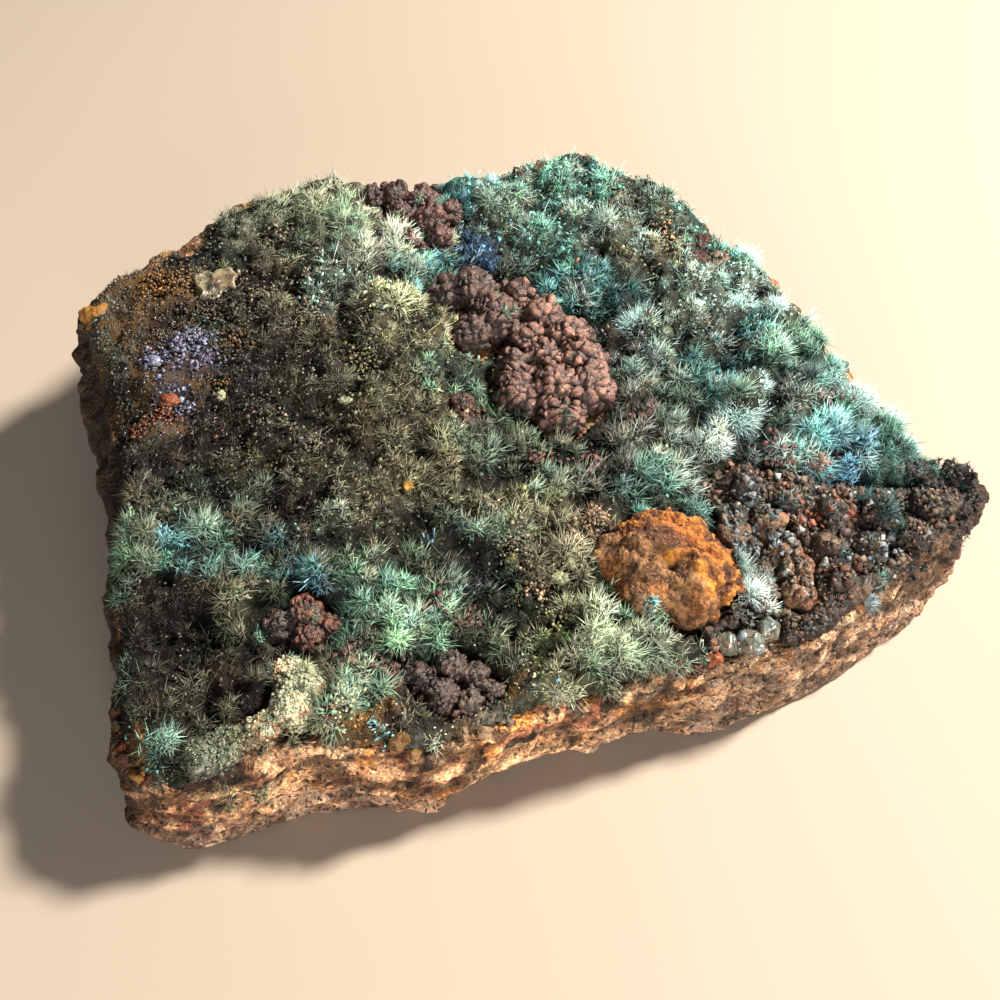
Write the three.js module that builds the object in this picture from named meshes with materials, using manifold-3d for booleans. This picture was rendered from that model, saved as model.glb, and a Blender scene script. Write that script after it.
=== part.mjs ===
// Aurichalcite on gossan: a hand-size wedge of brown iron-oxide rock whose upper face is
// grown over with a crust of radiating needle tufts, broken by botryoidal goethite, an
// orange limonite nodule and a dark druse. Millimetres, +Z up. The rock stands on its flat
// foot, and the origin is on the foot's plane, under the middle of the specimen.
import * as THREE from "three";
import { mergeVertices } from "three/addons/utils/BufferGeometryUtils.js";
import Module from "manifold-3d";

const wasm = await Module();
wasm.setup();

// Driving dimensions
const FACE_HEIGHT = 14.8; // of the upper face over the origin
const FACE_SLOPE = 0.129; // rise of the upper face per millimetre towards the back
const CRUST_THICKNESS = 0.9; // of the crust in the dips between its small tufts
const PEAK_HEIGHT = 2; // of the small tufts over those dips
const CRUST_BORDER = 0.2; // bare rock between the shoulder's top edge and the crust
const GAP = 0.25; // between neighbouring pieces
const SINK = 4; // how far a grown sheet is drawn below the rock's face before it is cut to fit
const EDGE_STEP = 5.2; // length of one facet along the broken outline
const ROUGHNESS = 0.8; // sideways relief of the broken edge
const SHOULDER = 0.55; // width of the shoulder's slope, both at least and per millimetre of its drop
const ROCK_STEP = 5.4; // size of the facets of the rock's upper face
const CRUST_STEP = 4.1; // distance from a small tuft's peak to the dips round it
const DRUSE_STEP = 5.6; // size of the druse bed's facets
const SMALL_KNOB = 2.15; // knobs of a smaller radius have the plainest facets

// The widest outline of the rock, anticlockwise from the tip at the right.
// Each corner: x, y, how far the foot stands in from it, how far the shoulder drops there.
const ROCK_CORNERS = [
  [42.6, -7.2, 2.2, 0.6],
  [41.8, -5.6, 3.5, 0.4],
  [38.2, -4.6, 4, 0.4],
  [33.7, 3.5, 4.5, 0.8],
  [30.1, 12, 4, 0.8],
  [25.7, 20.2, 4, 0.8],
  [19.4, 26.4, 4.5, 0.8],
  [16, 30.4, 4, 0.6],
  [11, 32.6, 4.5, 0.2],
  [8.4, 35.4, 5, -0.6],
  [5, 34.6, 5, -0.5],
  [-3.2, 31.8, 4, 0.2],
  [-11.6, 31, 4, 0.8],
  [-20.6, 32.2, 4, 0.8],
  [-25.4, 29.6, 4, 1],
  [-32.6, 24.9, 4, 1],
  [-40.8, 16, 3.5, 1],
  [-42.8, 12.4, 3, 0.8],
  [-42, 7.6, 2.5, 3],
  [-39.2, -0.4, 2, 3.6],
  [-37.4, -6, 2, 3],
  [-35.6, -14.4, 2, 1.6],
  [-34, -22, 2, 1.4],
  [-32.9, -29.6, 1.6, 1.6],
  [-31.6, -33.2, 0.6, 1.6],
  [-27.4, -35.2, 0.2, 0.8],
  [-22.6, -33.8, 0, 0.4],
  [-17.4, -31.4, -0.6, 0.2],
  [-13, -31.8, 0.8, 0.4],
  [-7.4, -32.6, 2, 0.8],
  [-1, -30, 2.6, 0.6],
  [6.6, -27.8, 2.6, 0.4],
  [11.6, -26, 3, 0.4],
  [17.4, -24.4, 0.4, 0.4],
  [25.6, -21.8, 1.2, 0.4],
  [30.6, -18.2, 0.4, 0.4],
  [37.4, -13.2, 0.4, 0.4],
];
const ROCK_MIDDLE = [0, -2];

// Swells and hollows of the upper face: x, y, half-widths along x and y, height.
const FACE_RELIEF = {
  leftField: [-22, 8, 13, 12, 1.6],
  mossMound: [-10.5, 10, 5, 5.5, 1.5],
  paleSprayMound: [-16, 24, 6, 5, 1],
  backMound: [9, 22, 9, 7, 1.3],
  rightMound: [21, 6, 8, 9, 1.4],
  endMound: [34, -2.4, 4, 3.4, 1.2],
  middleMound: [4, -11, 7, 6, 1],
  frontMound: [6, -22, 5, 4.4, 1],
  hollow: [-28, -21, 5.4, 6.4, -3],
  hollowRim: [-24.5, -12.5, 8, 3, 0.9],
  rockFoldFront: [-18, -28, 5, 3.4, 1],
  darkRecess: [1.4, -25.6, 2.2, 2.6, -2.4],
  druseBed: [27, -12, 7, 5.4, -1.6],
  drusePit: [28.4, -20, 2.8, 2.2, -2.2],
  ballPit: [18.6, -19.6, 2.6, 3, -2],
};

// The border of the druse bed.
const DRUSE_CORNERS = [
  [40.6, -7.4], [37, -7.2], [31.6, -7.2], [25, -6], [19.4, -5.4], [16.2, -7.4], [18.4, -10.4],
  [18.6, -15.6], [15.6, -19.6], [16.4, -22.8], [21.2, -22.4], [26.4, -20.6], [29.8, -17.4],
  [33.6, -15], [38.6, -10.6],
];
const DRUSE_MIDDLE = [26, -13];

// The larger tufts that stand out of the crust: x, y, radius.
const TUFTS = [
  [-31.6, -12.4, 2.6], [-26.6, -12, 2.8], [-21.4, -12.4, 2.8], [-16.8, -15.6, 2.4],
  [-12.6, -18.8, 2.8], [-8, -20, 3], [-28.2, -28.2, 2.4], [-27.2, -31.4, 1.9],
  [11.6, -6.8, 3], [0.8, -2.4, 2.6], [4.4, -15, 2.8], [6.6, -22.8, 2.8],
  [29.6, -2.6, 3], [27.6, 3.4, 3], [34.2, -3, 2.6], [20.6, 1, 3],
  [-13.4, 19.6, 2.6], [-17.4, 25.4, 2.8], [-10.8, 11.4, 3], [-2, 26.6, 2.8], [9.4, 22.4, 3],
];

// Botryoidal goethite: each cluster is a run of knobs: x, y, radius of each.
const GOETHITE_CLUSTERS = {
  goethite_ridge: [
    [-6.2, 14.6, 2], [-3.4, 14.8, 2.4], [-1.4, 11.6, 2.5], [0.6, 14.8, 2], [1.6, 9.2, 2.1],
    [3.2, 11.8, 2.3], [5.4, 9.2, 2.4], [3.4, 6.4, 2.3], [6.8, 5.8, 2.5], [4.2, 3, 2.5],
    [7.2, 2.6, 2.4], [4.8, 0.2, 2.1], [-3.6, 9.6, 2], [0.4, 5.4, 2.1], [0.8, 2.6, 2.1],
  ],
  goethite_knobs_back: [
    [-14.4, 28, 1.5], [-11.8, 28.2, 1.8], [-9, 27.4, 1.9], [-11.2, 25.6, 1.6], [-8.2, 24.8, 1.9],
    [-6, 26.2, 1.5], [-7, 22.6, 1.5],
  ],
  goethite_beads_left: [
    [-19.4, -20.4, 1.4], [-17.4, -19.5, 1.6], [-17, -21.7, 1.4], [-15.2, -20.6, 1.2],
  ],
  goethite_beads_front: [
    [-7.4, -25.4, 1.3], [-5.2, -24.4, 1.5], [-3.2, -25.2, 1.3], [-5.6, -27.2, 1.4],
    [-3.4, -27.6, 1.2], [-1.6, -26.2, 0.9],
  ],
  goethite_chip: [[-4.4, 1.8, 1.2], [-4, 0, 1]],
};

// Small beads that line the druse bed: x, y, radius.
const DRUSE_BEADS = [
  [20.6, -7.4, 1.5], [24.4, -8.4, 1.4], [28.4, -9, 1.4], [32.4, -9.4, 1.5], [36.6, -9.2, 1.5],
  [27.6, -12.6, 1.3], [31.4, -12.8, 1.4], [35, -12.2, 1.5], [28.2, -16, 1.2],
];
const LIMONITE_RIDGE = [
  [22.6, -10.6, 1.6], [23.6, -12.8, 1.7], [24.4, -15, 1.7], [24.4, -17.4, 1.5],
];
const HEMIMORPHITE_BALLS = [
  [18, -22.1, 1.15], [19.8, -22, 1.3], [21.4, -20.8, 1.1],
];
const NODULE = { x: 13.4, y: -16, lift: 0.4, radii: [6.1, 5.8, 4.7] };
const CARBONATE_RIM = [
  [-24.2, -32.4, 1.6], [-22, -31.6, 1.7], [-19.8, -30.6, 1.8], [-17.8, -28.8, 1.9],
  [-17.4, -26.4, 1.9], [-18.8, -24.8, 1.4],
];
const CALCITE = { x: -29.1, y: 15.6, size: [3.6, 2.8, 1.8], lift: 0.5, tilt: 0.3, turn: 0.6 };

// Smooth repeatable noise from -1 to 1
function lattice(i, j, k) {
  const s = Math.sin(i * 127.1 + j * 311.7 + k * 74.7) * 43758.5453;
  return 2 * (s - Math.floor(s)) - 1;
}
function noise(x, y, z = 0) {
  const [i, j, k] = [x, y, z].map(Math.floor);
  const [u, v, w] = [x - i, y - j, z - k].map((t) => t * t * (3 - 2 * t));
  const mix = THREE.MathUtils.lerp;
  const row = (dj, dk) => mix(lattice(i, j + dj, k + dk), lattice(i + 1, j + dj, k + dk), u);
  return mix(mix(row(0, 0), row(1, 0), v), mix(row(0, 1), row(1, 1), v), w);
}

// Height of the rock's upper face
function faceHeight(x, y) {
  let z = FACE_HEIGHT + FACE_SLOPE * y;
  for (const [cx, cy, rx, ry, height] of Object.values(FACE_RELIEF)) {
    z += height * Math.exp(-(((x - cx) / rx) ** 2) - ((y - cy) / ry) ** 2);
  }
  return z + 0.9 * noise(x / 5.5, y / 5.5, 4) + 0.3 * noise(x / 2, y / 2, 5);
}

// A closed outline with its long sides cut into facets that jog in and out
function brokenOutline(corners, jog) {
  const outline = [];
  corners.forEach((from, n) => {
    const to = corners[(n + 1) % corners.length];
    const length = Math.hypot(to[0] - from[0], to[1] - from[1]);
    const steps = Math.max(1, Math.round(length / EDGE_STEP));
    const out = [(to[1] - from[1]) / length, (from[0] - to[0]) / length];
    for (let s = 0; s < steps; s++) {
      const point = from.map((value, axis) => THREE.MathUtils.lerp(value, to[axis], s / steps));
      const shift = s === 0 ? 0 : jog * noise(point[0], point[1], 9);
      point[0] += out[0] * shift;
      point[1] += out[1] * shift;
      outline.push(point);
    }
  });
  return outline;
}

// A closed outline stood in towards a middle point by some millimetres, at a height
function stoodIn(border, [mx, my], amount, height) {
  return border.map((point) => {
    const [x, y] = point;
    const t = 1 - amount(point) / Math.hypot(x - mx, y - my);
    return [mx + (x - mx) * t, my + (y - my) * t, height(point)];
  });
}

// A closed surface through a stack of rings with equal counts, from a low point to a high one
function ringStack(lowPoint, rings, highPoint) {
  const count = rings[0].length;
  const positions = [lowPoint, ...rings.flat(), highPoint].flat();
  const last = positions.length / 3 - 1;
  const faces = [];
  for (let n = 0; n < count; n++) {
    const next = (n + 1) % count;
    faces.push(0, 1 + next, 1 + n);
    for (let r = 0; r + 1 < rings.length; r++) {
      const [a, b] = [1 + r * count + n, 1 + r * count + next];
      faces.push(a, b, b + count, a, b + count, a + count);
    }
    const top = 1 + (rings.length - 1) * count;
    faces.push(last, top + n, top + next);
  }
  const geometry = new THREE.BufferGeometry();
  geometry.setAttribute("position", new THREE.Float32BufferAttribute(positions, 3));
  geometry.setIndex(faces);
  return geometry;
}

// A manifold-3d solid from a closed three.js geometry, and back
function solid(geometry) {
  const bare = geometry.clone();
  bare.deleteAttribute("normal");
  bare.deleteAttribute("uv");
  const merged = mergeVertices(bare, 1e-4);
  return new wasm.Manifold(
    new wasm.Mesh({
      numProp: 3,
      vertProperties: new Float32Array(merged.attributes.position.array),
      triVerts: new Uint32Array(merged.index.array),
    }),
  );
}
function geometryOf(manifold) {
  const mesh = manifold.getMesh();
  const geometry = new THREE.BufferGeometry();
  geometry.setAttribute("position", new THREE.BufferAttribute(mesh.vertProperties, 3));
  geometry.setIndex(new THREE.BufferAttribute(mesh.triVerts, 1));
  return geometry;
}
const joined = (solids) => solids.reduce((whole, piece) => whole.add(piece));

// The same geometry without the crumbs that a cut left beside its largest body
function withoutCrumbs(geometry) {
  const index = Array.from(geometry.index.array);
  const owner = Array.from({ length: geometry.attributes.position.count }, (_, n) => n);
  const find = (n) => {
    while (owner[n] !== n) {
      n = owner[n];
    }
    return n;
  };
  for (let f = 0; f < index.length; f += 3) {
    owner[find(index[f + 1])] = find(index[f]);
    owner[find(index[f + 2])] = find(index[f]);
  }
  const sizes = new Map();
  for (const corner of index) {
    sizes.set(find(corner), (sizes.get(find(corner)) ?? 0) + 1);
  }
  const largest = [...sizes].reduce((a, b) => (b[1] > a[1] ? b : a))[0];
  geometry.setIndex(index.filter((corner) => find(corner) === largest));
  return mergeVertices(geometry.toNonIndexed(), 1e-5);
}

// Facets over the whole specimen, from far below up to a height. Every third corner is a peak
// with six others round it, and height is told which.
function terrain(step, height) {
  const [columns, rows] = [Math.ceil(92 / step), Math.ceil(80 / (0.866 * step))];
  const positions = [];
  for (const level of ["low", "high"]) {
    for (let row = 0; row <= rows; row++) {
      for (let column = 0; column <= columns; column++) {
        const across = column + 0.5 * (row % 2) + 0.25 * noise(1.3 * column, 1.3 * row, 3);
        const along = row + 0.25 * noise(1.3 * column, 1.3 * row, 8);
        const [x, y] = [across * step - 46, 0.866 * along * step - 40];
        const peak = (column - Math.floor(row / 2) - row + 3 * rows) % 3 === 0;
        positions.push(x, y, level === "low" ? -6 : height(x, y, peak));
      }
    }
  }
  const wide = columns + 1;
  const layer = wide * (rows + 1);
  const faces = [];
  const quad = (a, b, c, d) => faces.push(a, b, c, a, c, d);
  for (let row = 0; row < rows; row++) {
    for (let column = 0; column < columns; column++) {
      const a = row * wide + column;
      const [b, c, d] = [a + 1, a + wide + 1, a + wide];
      if (row % 2) {
        quad(layer + a, layer + b, layer + c, layer + d);
        quad(a, d, c, b);
      } else {
        quad(layer + b, layer + c, layer + d, layer + a);
        quad(b, a, d, c);
      }
    }
  }
  for (let column = 0; column < columns; column++) {
    const back = rows * wide + column;
    quad(column, column + 1, layer + column + 1, layer + column);
    quad(back + 1, back, layer + back, layer + back + 1);
  }
  for (let row = 0; row < rows; row++) {
    const [left, right] = [row * wide, row * wide + columns];
    quad(left + wide, left, layer + left, layer + left + wide);
    quad(right, right + wide, layer + right + wide, layer + right);
  }
  const geometry = new THREE.BufferGeometry();
  geometry.setAttribute("position", new THREE.Float32BufferAttribute(positions, 3));
  geometry.setIndex(faces);
  return solid(geometry);
}

// An upright block inside a border, from below the rock's face to far above it
function borderBlock(border, middle, amount) {
  const low = stoodIn(border, middle, amount, ([x, y]) => faceHeight(x, y) - SINK);
  const high = stoodIn(border, middle, amount, () => 42);
  return solid(ringStack([...middle, 4], [low, high], [...middle, 42]));
}

// The gossan slab: flat foot, broken sides with ledges, shoulder, upper face
const outline = brokenOutline(ROCK_CORNERS, ROUGHNESS);
const shoulderWidth = ([, , , drop]) => SHOULDER * (1 + drop);
const FOOT_SHARE = 0.5; // of the way out to the rim, for one ring of the foot's facets
// share of the way down from the shoulder, and share of the foot's inset taken there
const SIDES = [[1, 1], [0.8, 0.45], [0.6, 0.3], [0.5, -0.06], [0.24, 0.06]];
function rockSolid() {
  const sideRing = ([down, inset], level) =>
    stoodIn(
      outline,
      ROCK_MIDDLE,
      ([x, y, foot]) => foot * inset + (down === 1 ? 0 : ROUGHNESS * noise(x / 2.6, y / 2.6, 3 * level)),
      ([x, y, , drop]) =>
        (faceHeight(x, y) - drop) * (1 - down) + (down === 1 ? 0 : 0.7 * noise(x / 4, y / 4, 20 + level)),
    );
  const above = (amount, height) => stoodIn(outline, ROCK_MIDDLE, amount, height);
  const sides = SIDES.map(sideRing);
  const rings = [
    sides[0].map(([x, y]) => [FOOT_SHARE * x, FOOT_SHARE * y, 0]),
    ...sides,
    above(() => 0, ([x, y, , drop]) => faceHeight(x, y) - drop),
    above(shoulderWidth, ([x, y]) => faceHeight(x, y) + 0.3),
    above((corner) => shoulderWidth(corner) + 0.4, () => 34),
  ];
  const block = solid(ringStack([...ROCK_MIDDLE, 0], rings, [...ROCK_MIDDLE, 34]));
  return block.intersect(terrain(ROCK_STEP, faceHeight));
}

// Height of the rock's faceted top under a point
const rock = rockSolid();
const rockMesh = new THREE.Mesh(geometryOf(rock));
const plumbLine = new THREE.Raycaster();
function groundHeight(x, y) {
  plumbLine.set(new THREE.Vector3(x, y, 60), new THREE.Vector3(0, 0, -1));
  const hit = plumbLine.intersectObject(rockMesh)[0];
  return hit ? hit.point.z : faceHeight(x, y);
}

// The crust between its tufts
const crustInset = (corner) => shoulderWidth(corner) + CRUST_BORDER;
function crustSheet() {
  const thickness = (x, y, peak) => {
    const rise = peak ? PEAK_HEIGHT * (0.75 + 0.5 * noise(x / 1.3, y / 1.3, 7)) : 0;
    return CRUST_THICKNESS + rise + 0.2 * noise(x, y, 17);
  };
  const sheet = terrain(CRUST_STEP, (x, y, peak) => groundHeight(x, y) + thickness(x, y, peak));
  return sheet.intersect(borderBlock(outline, ROCK_MIDDLE, crustInset));
}

// The druse's bed, a thin uneven sheet
const druseOutline = brokenOutline(DRUSE_CORNERS, 0.4);
function druseSheet() {
  const sheet = terrain(DRUSE_STEP, (x, y) => groundHeight(x, y) + 1 + 0.5 * noise(x, y, 12));
  return sheet.intersect(borderBlock(druseOutline, DRUSE_MIDDLE, () => 0));
}

const HUB = 0.11; // how far out a burst's drawn-in face stands, a quarter at the flat face
// A burst of needles seen from a step away: a cube whose faces are drawn in, so that its eight
// corners stand out as points
function burst(x, y, radius, turn) {
  const cube = new THREE.BoxGeometry(1, 1, 1).toNonIndexed().attributes.position;
  const positions = [];
  const reach = radius / Math.hypot(0.5, 0.5, 0.5);
  for (let side = 0; side < 6; side++) {
    const at = (n) => [cube.getX(6 * side + n), cube.getY(6 * side + n), cube.getZ(6 * side + n)];
    const square = [at(0), at(1), at(4), at(2)].map((corner) => corner.map((v) => v * reach));
    const hub = [0, 1, 2].map((axis) => HUB * square.reduce((sum, corner) => sum + corner[axis], 0));
    for (let n = 0; n < 4; n++) {
      positions.push(...square[n], ...square[(n + 1) % 4], ...hub);
    }
  }
  const geometry = new THREE.BufferGeometry();
  geometry.setAttribute("position", new THREE.Float32BufferAttribute(positions, 3));
  geometry.rotateX(turn).rotateY(2.1 * turn).rotateZ(3.7 * turn);
  geometry.translate(x, y, groundHeight(x, y) + CRUST_THICKNESS);
  return solid(geometry);
}

// Round knobs half sunk in the face and fused together
function knobs(list, lift) {
  return joined(
    list.map(([x, y, radius], n) => {
      const small = radius < SMALL_KNOB;
      const ball = new THREE.IcosahedronGeometry(small ? 1.1 * radius : radius, small ? 0 : 1);
      ball.rotateX(n).rotateZ(2 * n);
      return solid(ball.translate(x, y, groundHeight(x, y) + lift * radius));
    }),
  );
}
// Rough room for the same knobs, to cut neighbours with: a plain icosahedron's faces lie at
// about four fifths of its corners' distance
function knobCutter(list, lift) {
  return joined(
    list.map(([x, y, radius], n) => {
      const room = new THREE.IcosahedronGeometry((1.1 * radius + GAP) / 0.795, 0);
      room.rotateX(n).rotateZ(2 * n);
      return solid(room.translate(x, y, groundHeight(x, y) + lift * radius));
    }),
  );
}

// The crinkled orange ball of limonite
function noduleSolid(grow, detail) {
  const ball = new THREE.IcosahedronGeometry(1, detail);
  const spots = ball.attributes.position;
  for (let n = 0; n < spots.count; n++) {
    const [x, y, z] = [spots.getX(n), spots.getY(n), spots.getZ(n)];
    const r = 1 + 0.07 * noise(2 * x, 2 * y, 2 * z + 4);
    spots.setXYZ(n, ...[x, y, z].map((value, axis) => value * (r * NODULE.radii[axis] + grow)));
  }
  const z = groundHeight(NODULE.x, NODULE.y) + NODULE.lift;
  return solid(ball.translate(NODULE.x, NODULE.y, z));
}

// A blunt rhombohedron of calcite lying in the crust
function calciteSolid(grow) {
  const [a, b, c] = CALCITE.size.map((side) => side + 2 * grow);
  const rhomb = new THREE.BoxGeometry(a, b, c);
  rhomb.applyMatrix4(new THREE.Matrix4().makeShear(0, 0, 0.25, 0, 0.2, 0));
  rhomb.rotateX(CALCITE.tilt).rotateZ(CALCITE.turn);
  const z = groundHeight(CALCITE.x, CALCITE.y) + CALCITE.lift;
  return solid(rhomb.translate(CALCITE.x, CALCITE.y, z));
}

const specimen = new THREE.Group();
function addPiece(name, piece, color, roughness, metalness = 0) {
  const material = new THREE.MeshStandardMaterial({ color, roughness, metalness });
  const mesh = new THREE.Mesh(withoutCrumbs(geometryOf(piece)), material);
  mesh.name = name;
  specimen.add(mesh);
}

const rockRaised = solid(rockMesh.geometry.clone().translate(0, 0, GAP));
addPiece("gossan_matrix", rock, 0x8a5233, 0.9);
addPiece("limonite_nodule", noduleSolid(0, 3).subtract(rockRaised), 0xc8701c, 0.85);
addPiece("calcite_rhomb", calciteSolid(0).subtract(rockRaised), 0xb9a878, 0.3);

// Every knobby piece: its knobs, how high they sit, colour, roughness
const KNOB_PIECES = {
  ...Object.fromEntries(
    Object.entries(GOETHITE_CLUSTERS).map(([name, list]) => [name, [list, 0.45, 0x5a2c26, 0.45]]),
  ),
  limonite_ridge: [LIMONITE_RIDGE, 0.5, 0xa4642c, 0.85],
  hemimorphite_balls: [HEMIMORPHITE_BALLS, 0.9, 0xa8aca4, 0.25],
  carbonate_rim: [CARBONATE_RIM, 0.3, 0xb5b28e, 0.7],
};
for (const [name, [list, lift, color, roughness]] of Object.entries(KNOB_PIECES)) {
  addPiece(name, knobs(list, lift).subtract(rockRaised), color, roughness);
}
const knobRoom = joined(Object.values(KNOB_PIECES).map(([list, lift]) => knobCutter(list, lift)));
const room = knobRoom.add(noduleSolid(1.6 * GAP, 2)).add(calciteSolid(GAP));

const druse = joined([druseSheet(), knobs(DRUSE_BEADS, 0.8)]).subtract(rockRaised).subtract(room);
addPiece("goethite_druse", druse, 0x3b2a26, 0.6);

const bursts = TUFTS.map(([x, y, radius], n) => burst(x, y, radius, 1 + n));
const crust = joined([crustSheet(), ...bursts])
  .subtract(rockRaised)
  .subtract(room)
  .subtract(borderBlock(druseOutline, DRUSE_MIDDLE, () => -1.6 * GAP));
addPiece("aurichalcite_crust", crust, 0x7fa596, 0.6);

export default specimen;
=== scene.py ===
import itertools
import math

import bmesh
import bpy
import numpy as np
from mathutils import Matrix, Vector
from mathutils.bvhtree import BVHTree


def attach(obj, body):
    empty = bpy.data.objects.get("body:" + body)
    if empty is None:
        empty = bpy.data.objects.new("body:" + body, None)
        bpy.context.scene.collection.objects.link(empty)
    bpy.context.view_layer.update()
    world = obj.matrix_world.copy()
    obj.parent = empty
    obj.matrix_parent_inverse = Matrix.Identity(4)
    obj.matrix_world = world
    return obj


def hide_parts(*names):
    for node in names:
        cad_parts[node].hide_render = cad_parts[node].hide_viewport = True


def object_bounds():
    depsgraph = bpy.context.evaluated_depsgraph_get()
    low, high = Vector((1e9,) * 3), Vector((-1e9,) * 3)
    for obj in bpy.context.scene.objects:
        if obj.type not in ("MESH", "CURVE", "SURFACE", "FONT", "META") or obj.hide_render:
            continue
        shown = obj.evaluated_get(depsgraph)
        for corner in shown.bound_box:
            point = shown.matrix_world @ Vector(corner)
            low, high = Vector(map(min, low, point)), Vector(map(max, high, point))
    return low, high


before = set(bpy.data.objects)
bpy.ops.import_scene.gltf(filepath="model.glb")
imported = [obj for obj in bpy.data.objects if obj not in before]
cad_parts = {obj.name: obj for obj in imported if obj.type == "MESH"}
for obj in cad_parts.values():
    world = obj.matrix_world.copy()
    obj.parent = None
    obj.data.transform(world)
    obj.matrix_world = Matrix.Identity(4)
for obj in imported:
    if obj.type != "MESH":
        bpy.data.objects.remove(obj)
cad_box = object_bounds()

# Lengths below are in millimetres, and become metres where a mesh is filled.
MM = 0.001

# The step between samples of the view from above, and the height that it looks down from.
GRID_STEP = 0.35
SKY = 60

# Colours of the minerals, as the eye sees them.
COLOURS = {
    "slate": (0.38, 0.44, 0.40), "clay": (0.50, 0.45, 0.36), "umber": (0.46, 0.33, 0.16),
    "bark": (0.34, 0.26, 0.19), "violet": (0.38, 0.37, 0.50), "pine": (0.20, 0.28, 0.22),
    "dusk": (0.33, 0.31, 0.36), "soot": (0.17, 0.14, 0.11), "lichen": (0.50, 0.56, 0.47),
    "olive": (0.40, 0.39, 0.28), "peat": (0.25, 0.25, 0.18), "straw": (0.50, 0.48, 0.33),
    "sage": (0.47, 0.60, 0.51), "frost": (0.72, 0.76, 0.73), "cyan": (0.42, 0.73, 0.72),
    "fern": (0.38, 0.48, 0.41), "moss": (0.38, 0.44, 0.25), "mint": (0.50, 0.69, 0.58),
    "teal": (0.34, 0.57, 0.51), "blue": (0.25, 0.49, 0.70), "cream": (0.68, 0.70, 0.54),
    "ink": (0.10, 0.17, 0.16), "ochre": (0.60, 0.41, 0.15), "deep": (0.14, 0.35, 0.35),
    "haze": (0.54, 0.67, 0.64), "sky": (0.42, 0.69, 0.82), "rust": (0.52, 0.27, 0.14),
    "maroon": (0.29, 0.13, 0.11), "tan": (0.56, 0.45, 0.34), "char": (0.13, 0.10, 0.09),
    "ash": (0.42, 0.36, 0.30), "plum": (0.35, 0.22, 0.20), "pink": (0.60, 0.43, 0.36),
    "gold": (0.70, 0.52, 0.18), "steel": (0.40, 0.45, 0.48), "cellar": (0.15, 0.12, 0.09),
    "raven": (0.17, 0.16, 0.20), "root": (0.22, 0.19, 0.14), "earth": (0.24, 0.19, 0.13),
    "cocoa": (0.30, 0.17, 0.10), "shade": (0.30, 0.33, 0.26), "resin": (0.31, 0.16, 0.06),
    "walnut": (0.32, 0.21, 0.12), "loam": (0.34, 0.21, 0.12), "liver": (0.40, 0.22, 0.16),
    "dust": (0.46, 0.38, 0.32), "leather": (0.48, 0.34, 0.22), "brick": (0.50, 0.25, 0.15),
    "lilac": (0.50, 0.51, 0.62), "putty": (0.52, 0.54, 0.44), "amber": (0.54, 0.28, 0.06),
    "caramel": (0.56, 0.33, 0.13), "oak": (0.62, 0.45, 0.28), "mist": (0.62, 0.62, 0.54),
    "clinker": (0.64, 0.42, 0.32), "rouge": (0.66, 0.47, 0.38), "ivory": (0.71, 0.68, 0.56),
    "honey": (0.74, 0.47, 0.16), "saffron": (0.76, 0.50, 0.14), "cool tip": (0.76, 0.89, 0.88),
    "copper": (0.78, 0.52, 0.26), "chalk": (0.78, 0.67, 0.58), "apricot": (0.82, 0.56, 0.28),
    "sand": (0.84, 0.70, 0.54), "warm tip": (0.86, 0.88, 0.74), "buff": (0.88, 0.68, 0.52),
}

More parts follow.
